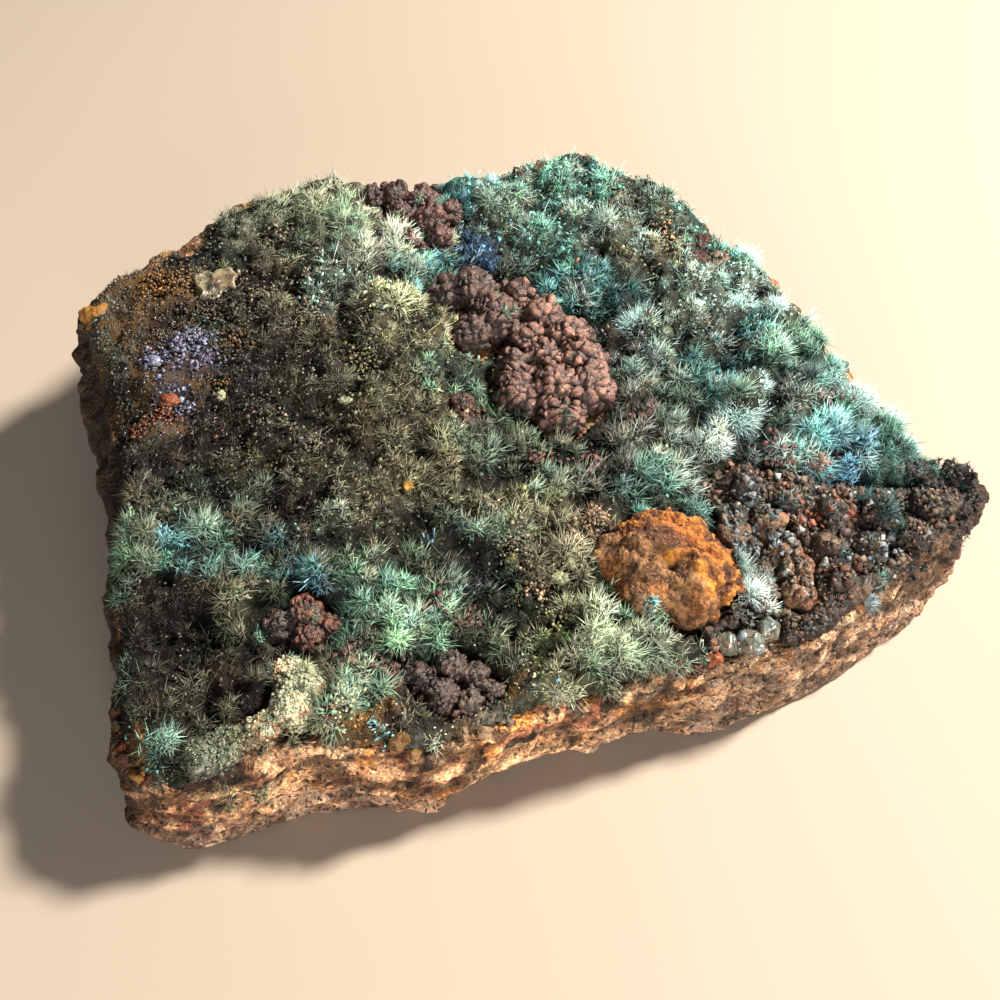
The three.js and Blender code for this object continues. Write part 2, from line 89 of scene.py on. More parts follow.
# Growth over the crust: x, y, reach, colour and habit of each stand of needles.
STANDS = [
    (-39.9, 7.5, 1.3, "slate", "stubble"), (-38.3, 13.9, 1.4, "clay", "stubble"),
    (-34.2, 15.2, 2.3, "umber", "stubble"), (-34.1, 9.6, 1.7, "bark", "stubble"),
    (-36.3, 3.6, 2.2, "soot", "stubble"), (-30.0, 5.8, 1.3, "violet", "stubble"),
    (-28.1, 8.0, 1.0, "pine", "moss"), (-30.4, 0.1, 1.7, "dusk", "stubble"),
    (-33.6, -5.9, 2.3, "soot", "shag"), (-27.1, 20.3, 2.4, "lichen", "haze"),
    (-30.9, 18.5, 1.6, "slate", "moss"), (-23.3, 17.6, 1.8, "clay", "moss"),
    (-21.1, 20.8, 2.0, "pine", "moss"), (-24.0, 11.2, 2.1, "olive", "moss"),
    (-20.0, 7.5, 2.3, "peat", "moss"), (-24.5, 5.1, 1.7, "dusk", "moss"),
    (-22.6, 0.5, 2.2, "peat", "moss"), (-26.2, -2.9, 2.0, "bark", "moss"),
    (-22.3, -5.1, 1.3, "straw", "moss"), (-17.7, 21.9, 1.8, "sage", "haze"),
    (-20.2, 28.2, 1.9, "lichen", "spray"), (-13.2, 18.4, 1.1, "frost", "fan"),
    (-9.9, 17.1, 0.9, "cyan", "fan"), (-17.4, 13.9, 1.6, "haze", "moss"),
    (-12.7, 12.7, 1.9, "cream", "moss"), (-9.8, 9.2, 1.7, "straw", "moss"),
    (-15.8, 8.3, 1.7, "peat", "moss"), (-9.8, 1.8, 2.4, "olive", "moss"),
    (-7.4, 5.1, 1.1, "sage", "spray"), (-16.7, 1.6, 1.8, "olive", "moss"),
    (-18.7, -2.7, 1.6, "peat", "moss"), (-14.1, -4.0, 1.8, "olive", "moss"),
    (-31.5, -10.9, 1.6, "lichen", "spray"), (-26.9, -9.6, 1.6, "pine", "moss"),
    (-23.3, -10.3, 1.7, "fern", "spray"), (-19.3, -8.9, 1.9, "peat", "moss"),
    (-11.6, -10.6, 1.9, "olive", "moss"), (-14.3, -13.6, 1.4, "fern", "spray"),
    (-32.9, -14.3, 1.4, "mint", "fan"), (-34.3, -18.0, 1.0, "mint", "fan"),
    (-28.3, -13.7, 1.0, "cyan", "fan"), (-23.4, -14.7, 1.5, "teal", "fan"),
    (-19.5, -15.7, 0.9, "cyan", "fan"), (-22.2, -18.2, 1.3, "cream", "fan"),
    (-18.6, -18.9, 1.3, "mint", "fan"), (-15.4, -18.9, 1.2, "ink", "spray"),
    (-28.7, -19.4, 2.6, "bark", "shag"), (-30.3, -23.1, 2.4, "soot", "shag"),
    (-31.1, -27.0, 1.3, "pine", "spray"), (-25.5, -23.5, 1.6, "peat", "shag"),
    (-21.9, -26.6, 1.4, "bark", "shag"), (-26.2, -27.9, 1.4, "olive", "moss"),
    (-27.8, -31.4, 0.9, "teal", "spray"), (-27.5, -34.3, 0.6, "cyan", "spray"),
    (-23.3, -31.4, 1.3, "olive", "spray"), (-24.9, -34.5, 0.9, "cream", "moss"),
    (-29.6, -32.7, 0.9, "ochre", "stubble"), (-12.6, -18.9, 1.3, "teal", "fan"),
    (-13.1, -22.8, 1.0, "pine", "spray"), (-15.4, -25.1, 0.8, "cream", "fan"),
    (-13.4, -26.3, 1.1, "mint", "fan"), (-8.1, -20.6, 1.7, "mint", "fan"),
    (-10.1, -24.0, 0.8, "ink", "spray"), (-8.8, -27.5, 1.0, "ash", "moss"),
    (-11.6, -29.3, 0.8, "ochre", "stubble"), (-7.9, -31.9, 0.9, "frost", "spray"),
    (-2.6, -29.3, 1.0, "soot", "stubble"), (-1.0, -22.6, 1.3, "pine", "spray"),
    (-3.7, -15.1, 1.7, "ink", "spray"), (-7.0, -12.6, 1.2, "pine", "fan"),
    (-5.4, -8.6, 1.8, "olive", "spray"), (-1.0, -3.5, 1.3, "sage", "fan"), (3.0, -5.1, 1.3, "fern", "fan"),
    (1.6, -11.3, 1.6, "straw", "spray"), (-1.0, -13.6, 1.2, "sage", "spray"),
    (4.1, -15.1, 1.4, "olive", "spray"), (2.3, -19.1, 1.2, "pine", "spray"),
    (3.1, -22.6, 1.0, "moss", "moss"), (5.9, -19.1, 1.2, "straw", "fan"),
    (7.5, -24.0, 1.1, "lichen", "fan"), (4.6, -27.9, 1.3, "cream", "fan"),
    (1.4, -27.0, 0.9, "ink", "stubble"), (11.7, -9.1, 1.6, "teal", "fan"),
    (8.1, -11.1, 1.0, "bark", "moss"), (12.7, -0.4, 1.5, "clay", "fan"),
    (16.1, -3.8, 1.3, "lichen", "fan"), (8.8, -5.9, 1.2, "soot", "fan"), (-4.1, 28.2, 1.5, "cyan", "moss"),
    (-0.5, 24.4, 1.6, "fern", "moss"), (-3.0, 20.3, 1.1, "blue", "moss"),
    (0.2, 15.5, 1.4, "deep", "spray"), (3.4, 14.2, 0.8, "cyan", "fan"), (3.8, 20.5, 1.8, "teal", "moss"),
    (7.3, 28.9, 1.9, "teal", "moss"), (10.1, 21.9, 1.8, "fern", "moss"), (8.8, 14.6, 2.0, "deep", "spray"),
    (13.0, 19.8, 1.4, "straw", "moss"), (10.5, 25.4, 0.8, "ink", "stubble"),
    (15.0, 27.5, 1.4, "pine", "moss"), (18.4, 24.7, 0.9, "teal", "moss"),
    (22.8, 21.9, 1.6, "teal", "moss"), (16.7, 13.3, 1.9, "fern", "moss"),
    (21.0, 13.9, 1.4, "haze", "moss"), (10.6, 8.3, 0.9, "dusk", "moss"), (14.1, 6.3, 1.3, "fern", "spray"),
    (25.0, 14.6, 1.4, "fern", "moss"), (23.0, 9.9, 1.7, "deep", "moss"), (19.7, 5.1, 1.7, "deep", "spray"),
    (18.3, 8.7, 1.3, "pine", "moss"), (26.8, 8.3, 1.3, "mint", "fan"), (28.3, 5.1, 1.1, "teal", "fan"),
    (26.6, 0.7, 1.2, "ink", "spray"), (28.2, -2.7, 1.0, "cyan", "fan"), (30.6, -4.4, 0.7, "sky", "fan"),
    (31.9, 1.8, 1.3, "teal", "moss"), (34.6, -3.8, 1.8, "teal", "haze"), (21.3, 0.5, 1.7, "pine", "moss"),
    (19.1, -2.9, 1.3, "frost", "fan"), (23.5, -4.0, 1.3, "haze", "fan"), (15.6, 1.3, 1.5, "pine", "fan"),
]

# Reach of a tuft, its needles, its widest lean in degrees, a needle's half width, and how pale its tips are.
HABITS = {
    "moss": (0.95, 66, 88, 0.040, 0.24),
    "spray": (1.6, 74, 80, 0.050, 0.36),
    "fan": (1.8, 84, 74, 0.052, 0.48),
    "stubble": (0.42, 34, 75, 0.050, 0.10),
    "haze": (1.25, 165, 86, 0.022, 0.55),
    "shag": (1.0, 110, 86, 0.034, 0.06),
}

# The large sprays that stand clear of the rest: x, y and reach.
GREAT_SPRAYS = [
    (-31.6, -12.4, 2.6), (-26.6, -12, 2.8), (-21.4, -12.4, 2.8), (-16.8, -15.6, 2.4), (-12.6, -18.8, 2.8),
    (-8, -20, 3), (-31.4, -14.8, 2.2), (-27.2, -31.4, 1.9), (-33.4, -17.6, 1.8), (-24.2, -15.6, 2.0),
    (-15.2, -26.2, 2.0), (-9.4, -22.6, 2.0), (8.8, -24.2, 2.2), (-5.2, -17.0, 2.4), (11.6, -6.8, 3),
    (0.8, -2.4, 2.6), (4.4, -15, 2.8), (6.6, -22.8, 2.8), (29.6, -2.6, 3), (27.6, 3.4, 3), (34.2, -3, 2.6),
    (20.6, 1, 3), (-13.4, 19.6, 2.6), (-17.4, 25.4, 2.8), (-10.8, 11.4, 3), (-2, 26.6, 2.8),
    (9.4, 22.4, 3),
]

# Large hazy mounds of hair-fine needles: x, y, radius and colour.
PUFFS = [
    (5.3, 30.4, 2.4, "sage"), (0.2, 27.4, 2.2, "teal"), (15.1, 26.5, 2.2, "sage"),
    (9.6, 28.8, 2.0, "haze"), (6.7, 24.6, 2.2, "fern"), (2.5, 22.2, 2.3, "teal"),
    (13.4, 20.2, 2.0, "straw"), (23.4, 19.6, 2.0, "sage"), (22.9, 16.4, 2.0, "haze"),
    (17.5, 15.6, 2.2, "haze"), (12.5, 10.9, 2.4, "haze"), (17.4, 11.2, 2.2, "frost"),
    (22.3, 12.8, 1.9, "haze"), (25.8, 13.4, 1.7, "frost"), (13.8, 6.4, 2.0, "sage"),
    (23.8, 8.9, 2.0, "sage"), (20.6, -0.2, 2.7, "haze"), (18.1, -3.1, 2.0, "frost"),
    (22.8, 3.2, 1.8, "sage"), (31.7, 1.7, 2.4, "haze"), (33.9, -1.4, 2.3, "sage"),
    (35.2, -4.0, 1.9, "haze"), (17.0, 19.2, 1.5, "sage"), (30.0, 4.6, 1.6, "teal"),
    (-24.7, 25.1, 2.2, "lichen"), (-27.6, 22.8, 2.0, "slate"), (-20.2, 26.4, 2.2, "fern"),
    (-15.7, 22.2, 2.3, "fern"), (-14.3, 18.4, 2.0, "lichen"), (-18.0, 16.4, 2.0, "fern"),
    (-13.3, 12.9, 2.4, "haze"), (-9.6, 12.2, 1.9, "cream"), (-12.5, 8.5, 2.3, "lichen"),
    (-8.5, 0.8, 2.2, "ash"), (-10.8, -2.0, 2.0, "clay"), (-22.6, 12.0, 2.2, "olive"),
    (-18.6, 9.0, 2.0, "olive"), (-16.0, 3.6, 2.0, "peat"), (-21.6, 21.4, 2.0, "clay"),
    (0.4, -12.4, 2.2, "sage"), (6.4, -21.4, 2.1, "lichen"), (3.8, -26.6, 1.8, "cream"),
    (1.2, -9.4, 1.9, "olive"), (2.2, -16.4, 2.0, "straw"), (4.6, -19.8, 1.8, "cream"),
    (-2.9, -9.6, 1.7, "sage"), (-6.4, 22.4, 1.6, "mint"), (27.4, -2.6, 1.6, "cyan"),
]

# Small lumps and crumbs among the needles: x, y, spread, how many and colour of each cluster.
BITS = [
    (-6.9, -19.0, 1.3, 26, "maroon"), (-5.2, -17.2, 1.0, 14, "maroon"), (-3.6, -20.8, 1.2, 16, "maroon"),
    (-10.2, -24.6, 1.4, 30, "maroon"), (-13.6, -23.8, 1.2, 24, "plum"), (-3.4, 0.4, 0.8, 16, "maroon"),
    (2.8, -4.6, 1.2, 26, "maroon"), (6.6, -5.8, 1.4, 28, "maroon"), (9.2, -7.6, 1.2, 18, "char"),
    (13.0, 3.6, 0.8, 12, "maroon"), (11.6, 0.4, 0.8, 12, "maroon"), (24.2, -4.9, 1.6, 40, "plum"),
    (29.4, 1.2, 1.1, 20, "plum"), (28.6, -5.2, 1.0, 16, "plum"), (-6.0, -26.5, 1.4, 30, "plum"),
    (0.4, -13.6, 1.8, 30, "clay"), (2.0, -17.6, 1.6, 20, "tan"), (-1.4, -9.8, 1.4, 18, "clay"),
    (3.4, -20.6, 1.2, 12, "straw"), (5.6, -13.4, 1.2, 20, "tan"), (7.6, -12.2, 1.0, 16, "tan"),
    (6.8, -16.2, 1.0, 16, "clay"), (-13.4, -27.9, 1.2, 26, "cream"), (-15.8, -26.0, 1.0, 14, "straw"),
    (-14.6, -29.4, 1.2, 24, "tan"), (-34.2, 15.6, 1.6, 50, "ochre"), (-29.2, 16.4, 1.1, 24, "umber"),
    (-31.8, 16.4, 1.4, 40, "umber"), (-24.0, 13.6, 1.6, 30, "clay"), (-29.0, 11.4, 1.6, 30, "bark"),
    (-26.0, 7.2, 1.4, 24, "umber"), (-31.6, -0.6, 1.0, 20, "rust"), (-33.4, -2.6, 0.8, 18, "rust"),
    (-27.0, 3.0, 1.2, 14, "umber"), (-21.4, -1.2, 1.4, 24, "clay"), (-17.6, -3.6, 1.2, 18, "ash"),
    (-19.6, 11.0, 1.6, 26, "clay"), (-14.0, 6.0, 1.6, 24, "straw"), (-23.6, 22.4, 1.6, 26, "clay"),
    (15.2, 21.6, 1.3, 14, "tan"), (-12.8, 24.8, 1.2, 60, "maroon"), (-9.2, 21.2, 1.1, 60, "maroon"),
    (-15.0, 27.2, 1.2, 40, "maroon"),
]


def as_light(colour):
    """Turns a colour as the eye sees it into the amounts of light a shader takes."""
    seen = np.asarray(colour, dtype=float)
    return np.where(seen <= 0.04045, seen / 12.92, ((seen + 0.055) / 1.055) ** 2.4)


def paint(name):
    """One of the named colours, ready for a shader."""
    return as_light(COLOURS[name])


def as_colour(value):
    """The colour that a name stands for, or the values themselves where they aren't a name."""
    return paint(value) if isinstance(value, str) else np.asarray(value)


def blend(first, second, share):
    """Mixes two sets of values or named colours, where share is 0 for the first and 1 for the second."""
    share = np.asarray(share)
    first = as_colour(first)
    second = as_colour(second)
    if share.ndim == 1 and 3 in (*first.shape[-1:], *second.shape[-1:]):
        share = share[:, None]
    return first * (1 - share) + second * share


def ease(value, low, high):
    """Rises smoothly from 0 to 1 as the value goes from low to high."""
    part = np.clip((value - low) / (high - low), 0, 1)
    return part * part * (3 - 2 * part)


def round_top(gap, reach=1.0):
    """How high a round dome stands at some gap from its middle: 1 there, and 0 at its reach."""
    return np.sqrt(np.clip(1 - (gap / reach) ** 2, 0, 1))


def uneven(chance, spread, *shape):
    """Factors about 1 that vary by chance."""
    return np.exp(chance.normal(0, spread, shape))


def flat_at(x, y):
    """Points on the level through the origin."""
    return np.column_stack([x, y, np.zeros_like(x)])


def corner_value(x, y, z, seed):
    """A repeatable number from 0 to 1 for each whole-number corner of space."""
    mixed = (x * 73856093) ^ (y * 19349663) ^ (z * 83492791) ^ (seed * 26544357)
    mixed = mixed & 0xFFFFFFFF
    mixed = ((mixed ^ (mixed >> 15)) * 2246822519) & 0xFFFFFFFF
    mixed = ((mixed ^ (mixed >> 13)) * 3266489917) & 0xFFFFFFFF
    return (mixed ^ (mixed >> 16)) / 4294967295.0


def soft_noise(points, size, seed):
    """Smooth noise from 0 to 1 with swells about as wide as size."""
    scaled = points / size
    whole = np.floor(scaled).astype(np.int64)
    part = scaled - whole
    part = part * part * (3 - 2 * part)
    total = np.zeros(len(points))
    for step in itertools.product((0, 1), repeat=3):
        share = np.ones(len(points))
        for axis in range(3):
            share = share * (part[:, axis] if step[axis] else 1 - part[:, axis])
        corner = whole + np.array(step)
        total += share * corner_value(corner[:, 0], corner[:, 1], corner[:, 2], seed)
    return total


def rough_noise(points, size, seed, layers=4):
    """Noise of several sizes on top of each other, from 0 to 1 and mostly near a half."""
    total = np.zeros(len(points))
    weight = 0
    share = 1
    for layer in range(layers):
        total += share * soft_noise(points, size / 2**layer, seed + 17 * layer)
        weight += share
        share *= 0.55
    return total / weight


def patches(points, size, seed, layers, low, high):
    """Ragged patches about as wide as size: 1 inside them and 0 outside."""
    return ease(rough_noise(points, size, seed, layers), low, high)


def wavering(points, size, seed, layers=1):
    """A shift for each point that wanders by up to a half each way."""
    return np.stack([rough_noise(points, size, seed + k, layers) for k in range(3)], axis=1) - 0.5


def lumps(points, size, seed):
    """How far each point is from the nearest and next lump's middle, in sizes, and that lump's number."""
    scaled = points / size
    whole = np.floor(scaled).astype(np.int64)
    nearest = np.full(len(points), 9.0)
    following = np.full(len(points), 9.0)
    number = np.zeros(len(points))
    for step in itertools.product((-1, 0, 1), repeat=3):
        cell = whole + np.array(step)
        x, y, z = cell[:, 0], cell[:, 1], cell[:, 2]
        middle = cell + 0.12 + 0.76 * np.stack([corner_value(x, y, z, seed + k) for k in range(3)], axis=1)
        gap = np.linalg.norm(middle - scaled, axis=1)
        closer = gap < nearest
        following = np.where(closer, nearest, np.minimum(following, gap))
        number = np.where(closer, corner_value(x, y, z, seed + 7), number)
        nearest = np.minimum(nearest, gap)
    return nearest, following, number


def points_of(piece):
    """A piece's points in millimetres."""
    flat = np.empty(len(piece.data.vertices) * 3)
    piece.data.vertices.foreach_get("co", flat)
    return flat.reshape(-1, 3) / MM


def normals_of(piece):
    """Which way each of a piece's points faces."""
    flat = np.empty(len(piece.data.vertices) * 3)
    piece.data.vertices.foreach_get("normal", flat)
    return flat.reshape(-1, 3)


def move_points(piece, points):
    """Puts a piece's points at new places in millimetres."""
    piece.data.vertices.foreach_set("co", (points * MM).ravel())
    piece.data.update()


def tint(piece, colours):
    """Stores a colour at each point of a piece."""
    layer = piece.data.attributes.new("tint", "FLOAT_COLOR", "POINT")
    opaque = np.ones((len(colours), 4))
    opaque[:, :3] = colours
    layer.data.foreach_set("color", opaque.ravel())


def into_scene(name, mesh):
    """Makes an object of a mesh."""
    piece = bpy.data.objects.new(name.replace(" ", "_"), mesh)
    bpy.context.collection.objects.link(piece)
    return piece


def from_form(name, form):
    """Makes an object of a bmesh form."""
    mesh = bpy.data.meshes.new(name)
    form.to_mesh(mesh)
    form.free()
    return into_scene(name, mesh)


def shade_smooth(piece):
    """Rounds the shading over a piece's faces."""
    piece.data.polygons.foreach_set("use_smooth", np.ones(len(piece.data.polygons), dtype=bool))


def fine_copy(name, node, grain, softening):
    """A copy of a CAD solid's form in small even faces, with its flat facets softened."""
    form = bmesh.new()
    form.from_mesh(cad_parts[node].data)
    bmesh.ops.remove_doubles(form, verts=form.verts, dist=1e-6)
    piece = from_form(name, form)
    even = piece.modifiers.new("even", "REMESH")
    even.mode = "VOXEL"
    even.voxel_size = grain * MM
    soft = piece.modifiers.new("soft", "SMOOTH")
    soft.factor = 0.5
    soft.iterations = softening
    graph = bpy.context.evaluated_depsgraph_get()
    finished = bpy.data.meshes.new_from_object(piece.evaluated_get(graph))
    piece.modifiers.clear()
    piece.data = finished
    shade_smooth(piece)
    return piece


def tree_of(pieces):
    """A search tree over pieces, and which piece each of its faces is from."""
    points = []
    faces = []
    owners = []
    for number, piece in enumerate(pieces):
        start = len(points)
        points += points_of(piece).tolist()
        faces += [[start + corner for corner in face.vertices] for face in piece.data.polygons]
        owners += [number] * len(piece.data.polygons)
    return BVHTree.FromPolygons(points, faces), owners


grid_x = np.arange(-44.8, 45.2, GRID_STEP)
grid_y = np.arange(-37.1, 37.8, GRID_STEP)


def look_down(pieces):
    """Heights of the topmost piece over the grid, and which piece it is: minus one where there is none."""
    tree, owners = tree_of(pieces)
    heights = np.full((len(grid_x), len(grid_y)), np.nan)
    top = np.full((len(grid_x), len(grid_y)), -1)
    down = Vector((0, 0, -1))
    for i, x in enumerate(grid_x):
        for j, y in enumerate(grid_y):
            place, _, face, _ = tree.ray_cast(Vector((x, y, SKY)), down)
            if place:
                heights[i, j] = place.z
                top[i, j] = owners[face]
    return heights, top


def shifted(field, i, j):
    """The field moved over by whole steps, with its edge repeated."""
    padded = np.pad(field, 1, mode="edge")
    return padded[1 + i:padded.shape[0] - 1 + i, 1 + j:padded.shape[1] - 1 + j]


def spread_out(field, rounds=14):
    """Fills the empty places beside a field from their neighbours."""
    filled = field.copy()
    for _ in range(rounds):
        around = np.stack([shifted(filled, i, j) for i in (-1, 0, 1) for j in (-1, 0, 1)])
        known = ~np.isnan(around)
        count = known.sum(axis=0)
        mean = np.where(known, around, 0).sum(axis=0) / np.maximum(count, 1)
        filled = np.where(np.isnan(filled) & (count > 0), mean, filled)
    return np.nan_to_num(filled, nan=float(np.nanmin(field)))


def blurred(field, rounds):
    """The field with each place averaged with its neighbours."""
    for _ in range(rounds):
        field = sum(shifted(field, i, j) for i in (-1, 0, 1) for j in (-1, 0, 1)) / 9
    return field


def read_field(field, x, y):
    """The field's value at places between its samples."""
    u = np.clip((np.asarray(x) - grid_x[0]) / GRID_STEP, 0, len(grid_x) - 1.001)
    v = np.clip((np.asarray(y) - grid_y[0]) / GRID_STEP, 0, len(grid_y) - 1.001)
    i = np.floor(u).astype(int)
    j = np.floor(v).astype(int)
    u = u - i
    v = v - j
    low = field[i, j] * (1 - u) + field[i + 1, j] * u
    high = field[i, j + 1] * (1 - u) + field[i + 1, j + 1] * u
    return low * (1 - v) + high * v


def slopes(field, x, y):
    """The way a height field's surface faces at some places."""
    step = GRID_STEP
    east = (read_field(field, x + step, y) - read_field(field, x - step, y)) / (2 * step)
    north = (read_field(field, x, y + step) - read_field(field, x, y - step)) / (2 * step)
    facing = np.stack([-east, -north, np.ones_like(east)], axis=1)
    return facing / np.linalg.norm(facing, axis=1)[:, None]


stand_x = np.array([stand[0] for stand in STANDS])
stand_y = np.array([stand[1] for stand in STANDS])
stand_reach = np.array([stand[2] for stand in STANDS])
stand_paint = np.array([paint(stand[3]) for stand in STANDS])
stand_habit = np.array([list(HABITS).index(stand[4]) for stand in STANDS])


def stand_shares(x, y, softness=0.55):
    """How much of each stand of needles grows at each place, with ragged borders between the stands."""
    flat = flat_at(x, y)
    east = x + 3.2 * (rough_noise(flat, 3.0, 60) - 0.5) + 1.6 * (soft_noise(flat, 0.8, 150) - 0.5)
    north = y + 3.2 * (rough_noise(flat, 3.0, 110) - 0.5) + 1.6 * (soft_noise(flat, 0.8, 151) - 0.5)
    gap = np.hypot(east[:, None] - stand_x, north[:, None] - stand_y) - 1.2 * stand_reach
    share = np.exp(-(gap - gap.min(axis=1, keepdims=True)) / softness)
    return share / share.sum(axis=1, keepdims=True)


def pick_stand(x, y, chance, softness=0.55):
    """One stand for each place, by chance among those that reach it."""
    running = np.cumsum(stand_shares(x, y, softness), axis=1)
    return (running < chance.uniform(0, 1, (len(x), 1))).sum(axis=1).clip(0, len(STANDS) - 1)


# The rock, and the views down on it and on everything that grows on it.
rock = fine_copy("gossan rock", "gossan_matrix", 0.42, 12)
rock_top, rock_there = look_down([rock])
rock_top = spread_out(rock_top)
rock_share = (rock_there >= 0).astype(float)
NODES = [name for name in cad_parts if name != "gossan_matrix"]
grown_top, grown_by = look_down([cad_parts[name] for name in NODES])
_, crust_there = look_down([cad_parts["aurichalcite_crust"]])
crust_share = blurred((crust_there >= 0).astype(float), 2)
inner_share = ease(blurred((crust_there >= 0).astype(float), 9), 0.45, 0.95)
everything_top = spread_out(np.fmax(grown_top, rock_top))

# The ground that the needles grow from: mounds with dark hollows between them.
grid_east, grid_north = [side.ravel() for side in np.meshgrid(grid_x, grid_y, indexing="ij")]
flat_points = flat_at(grid_east, grid_north)
drift = flat_at(rough_noise(flat_points, 5, 3), rough_noise(flat_points, 5, 4))
warped = flat_points + 1.4 * (drift - 0.5)
near, _, mound_number = lumps(warped, 4.3, 21)
mound = round_top(near, 0.82) * (0.45 + 0.55 * mound_number)
small_near, _, _ = lumps(warped, 1.6, 31)
swell = patches(flat_points, 6.5, 25, 4, 0.34, 0.66)
shape = grown_top.shape
habit_names = list(HABITS)
is_stubble = (stand_habit == habit_names.index("stubble")).astype(float)
stubbly = (stand_shares(grid_east, grid_north) @ is_stubble).reshape(shape)
hole = patches(flat_points, 2.7, 71, 3, 0.56, 0.63).reshape(shape) * (1 - 0.7 * stubbly)
hole = hole * (1 - ease(grid_north, 24, 28).reshape(shape))
in_the_middle = np.hypot(grid_east - 1, (grid_north + 11) * 0.8) < 9
middle_hole = 0.85 * patches(flat_points, 2.0, 77, 3, 0.5, 0.6) * in_the_middle
hole = np.maximum(hole, middle_hole.reshape(shape))
puff_dome = np.zeros(len(flat_points))
for x, y, radius, _ in PUFFS:
    away = np.hypot(warped[:, 0] - x, warped[:, 1] - y) / radius
    puff_dome = np.maximum(puff_dome, round_top(away) * radius / 2.2)
puff_dome = puff_dome.reshape(shape)
bowl = np.clip(1 - np.hypot((warped[:, 0] + 27.6) / 5.2, (warped[:, 1] + 21.8) / 4.4), 0, 1).reshape(shape)
bulge = np.maximum((0.62 * mound + 0.38 * swell).reshape(shape) * (1 - 0.8 * (puff_dome > 0)), puff_dome)
small_mound = round_top(small_near, 0.86).reshape(shape)
lift = 0.3 + inner_share * (0.15 + 1.75 * bulge + 0.35 * small_mound + 0.2 * stubbly) * (1 - 0.6 * hole)
lift = lift * (1 - 0.9 * ease(bowl, 0, 0.7)) + 0.25 * ease(bowl, 0, 0.7)
highest = cad_box[1][2] / MM + 0.4
ground_top = np.maximum(rock_top + 0.2, np.minimum(rock_top + lift, highest - 1.4))
# Painted light over the ground: the mound tops lighter, and the hollows, the bowl at the front left and the
# low ground between the puffs on the right darker, as shade.
mound_light = blurred(ease(0.75 * bulge + 0.25 * small_mound, 0.18, 0.72) * (1 - 0.7 * hole), 1)
behind_right = ease(grid_east + 0.4 * grid_north, 0, 6).reshape(shape)
mound_light = mound_light * (1 - 0.6 * ease(bowl, 0, 0.4))
mound_light = mound_light * (1 - 0.3 * behind_right * ease(-puff_dome, -0.5, 0))


def brightness_across(x, y):
    """How bright the growth is painted: darker towards the left and at the front left, with painted light
    that makes it palest on the right and behind, towards the key lamp, and darker again at the right end.
    """
    brightness_factor = blend(0.34, 0.95, ease(x + np.where(y > 0, 0.5, -0.15) * y, -27, 0))
    brightness_factor = brightness_factor * blend(1, 0.78, ease(-y, 17, 23) * ease(-x, 13, 19))
    return brightness_factor * blend(1, 1.45, ease(x + 0.4 * y, 2, 10)) * blend(1, 0.6, ease(x, 26, 36))


def greenness(tone):
    """How green or blue each colour is, from 0 to 1."""
    return ease((tone[:, 1] - tone[:, 0]) / tone[:, 1], 0.2, 0.45)


def mottled(tone, x, y):
    """Breaks a colour up into browner, darker and paler patches, browner towards the left."""
    flat = flat_at(x, y)
    green = greenness(tone)
    earth = patches(flat, 3.2, 81, 3, 0.53, 0.62) * blend(0.75, 0.15, ease(x + 0.25 * y, -24, -2))
    earth = earth * (1 - 0.85 * green)
    tone = blend(tone, blend("bark", "umber", soft_noise(flat, 2.0, 84)), earth)
    clear = patches(flat, 2.4, 91, 3, 0.56, 0.64)
    tone = blend(tone, "mist", 0.4 * clear)
    dark = patches(flat, 2.0, 97, 3, 0.53, 0.63)
    return tone * (1 - 0.6 * dark * (1 - 0.4 * green))[:, None]


def pale_tip(x, y):
    """The colour of a needle's clear end: creamy on the left and in front, bluish behind on the right."""
    return blend("warm tip", "cool tip", ease(x + 0.4 * y, 0, 13))


def crust_ground():
    """The root layer of the crust as one closed sheet over the rock."""
    form = bmesh.new()
    wide = grid_x[-1] - grid_x[0]
    deep = grid_y[-1] - grid_y[0]
    place = Matrix.Translation(((grid_x[0] + grid_x[-1]) / 2, (grid_y[0] + grid_y[-1]) / 2, 0))
    bmesh.ops.create_grid(form, x_segments=len(grid_x) - 1, y_segments=len(grid_y) - 1, size=0.5,
                          matrix=place @ Matrix.Diagonal((wide, deep, 1, 1)))
    form.verts.ensure_lookup_table()
    x, y, _ = np.array([vertex.co[:] for vertex in form.verts]).T
    for vertex, height in zip(form.verts, read_field(ground_top, x, y)):
        vertex.co.z = height
    bare = np.flatnonzero(read_field(crust_share, x, y) <= 0.25)
    bmesh.ops.delete(form, geom=[form.verts[number] for number in bare], context="VERTS")
    bmesh.ops.scale(form, vec=(MM, MM, MM), verts=form.verts)
    bmesh.ops.solidify(form, geom=form.faces[:], thickness=1.1 * MM)
    bmesh.ops.recalc_face_normals(form, faces=form.faces)
    piece = from_form("crust ground", form)
    shade_smooth(piece)
    points = points_of(piece)
    x, y = points[:, 0], points[:, 1]
    shares = stand_shares(x, y)
    colour = mottled(shares @ stand_paint, x, y)
    stub = shares @ is_stubble
    speckle = np.exp(4.0 * (rough_noise(points, 0.7, 5) - 0.5))
    # The root layer is painted dark as the shade under the needles, darkest in the hollows where the painted
    # mound light is low, and less dark under stubble.
    height = read_field(mound_light, x, y)
    depth = blend(blend(0.05, 0.45, height), blend(0.25, 0.75, height), stub)
    tone = blend("root", colour, blend(0.35, 0.75, stub)) * (depth * speckle)[:, None]
    tone = tone * brightness_across(x, y)[:, None]
    earthy = blend("char", "umber", rough_noise(points, 1.1, 6))
    tone = blend(tone, earthy, 0.6 * stub * patches(points, 1.6, 8, 4, 0.45, 0.6))
    tint(piece, tone)
    return piece


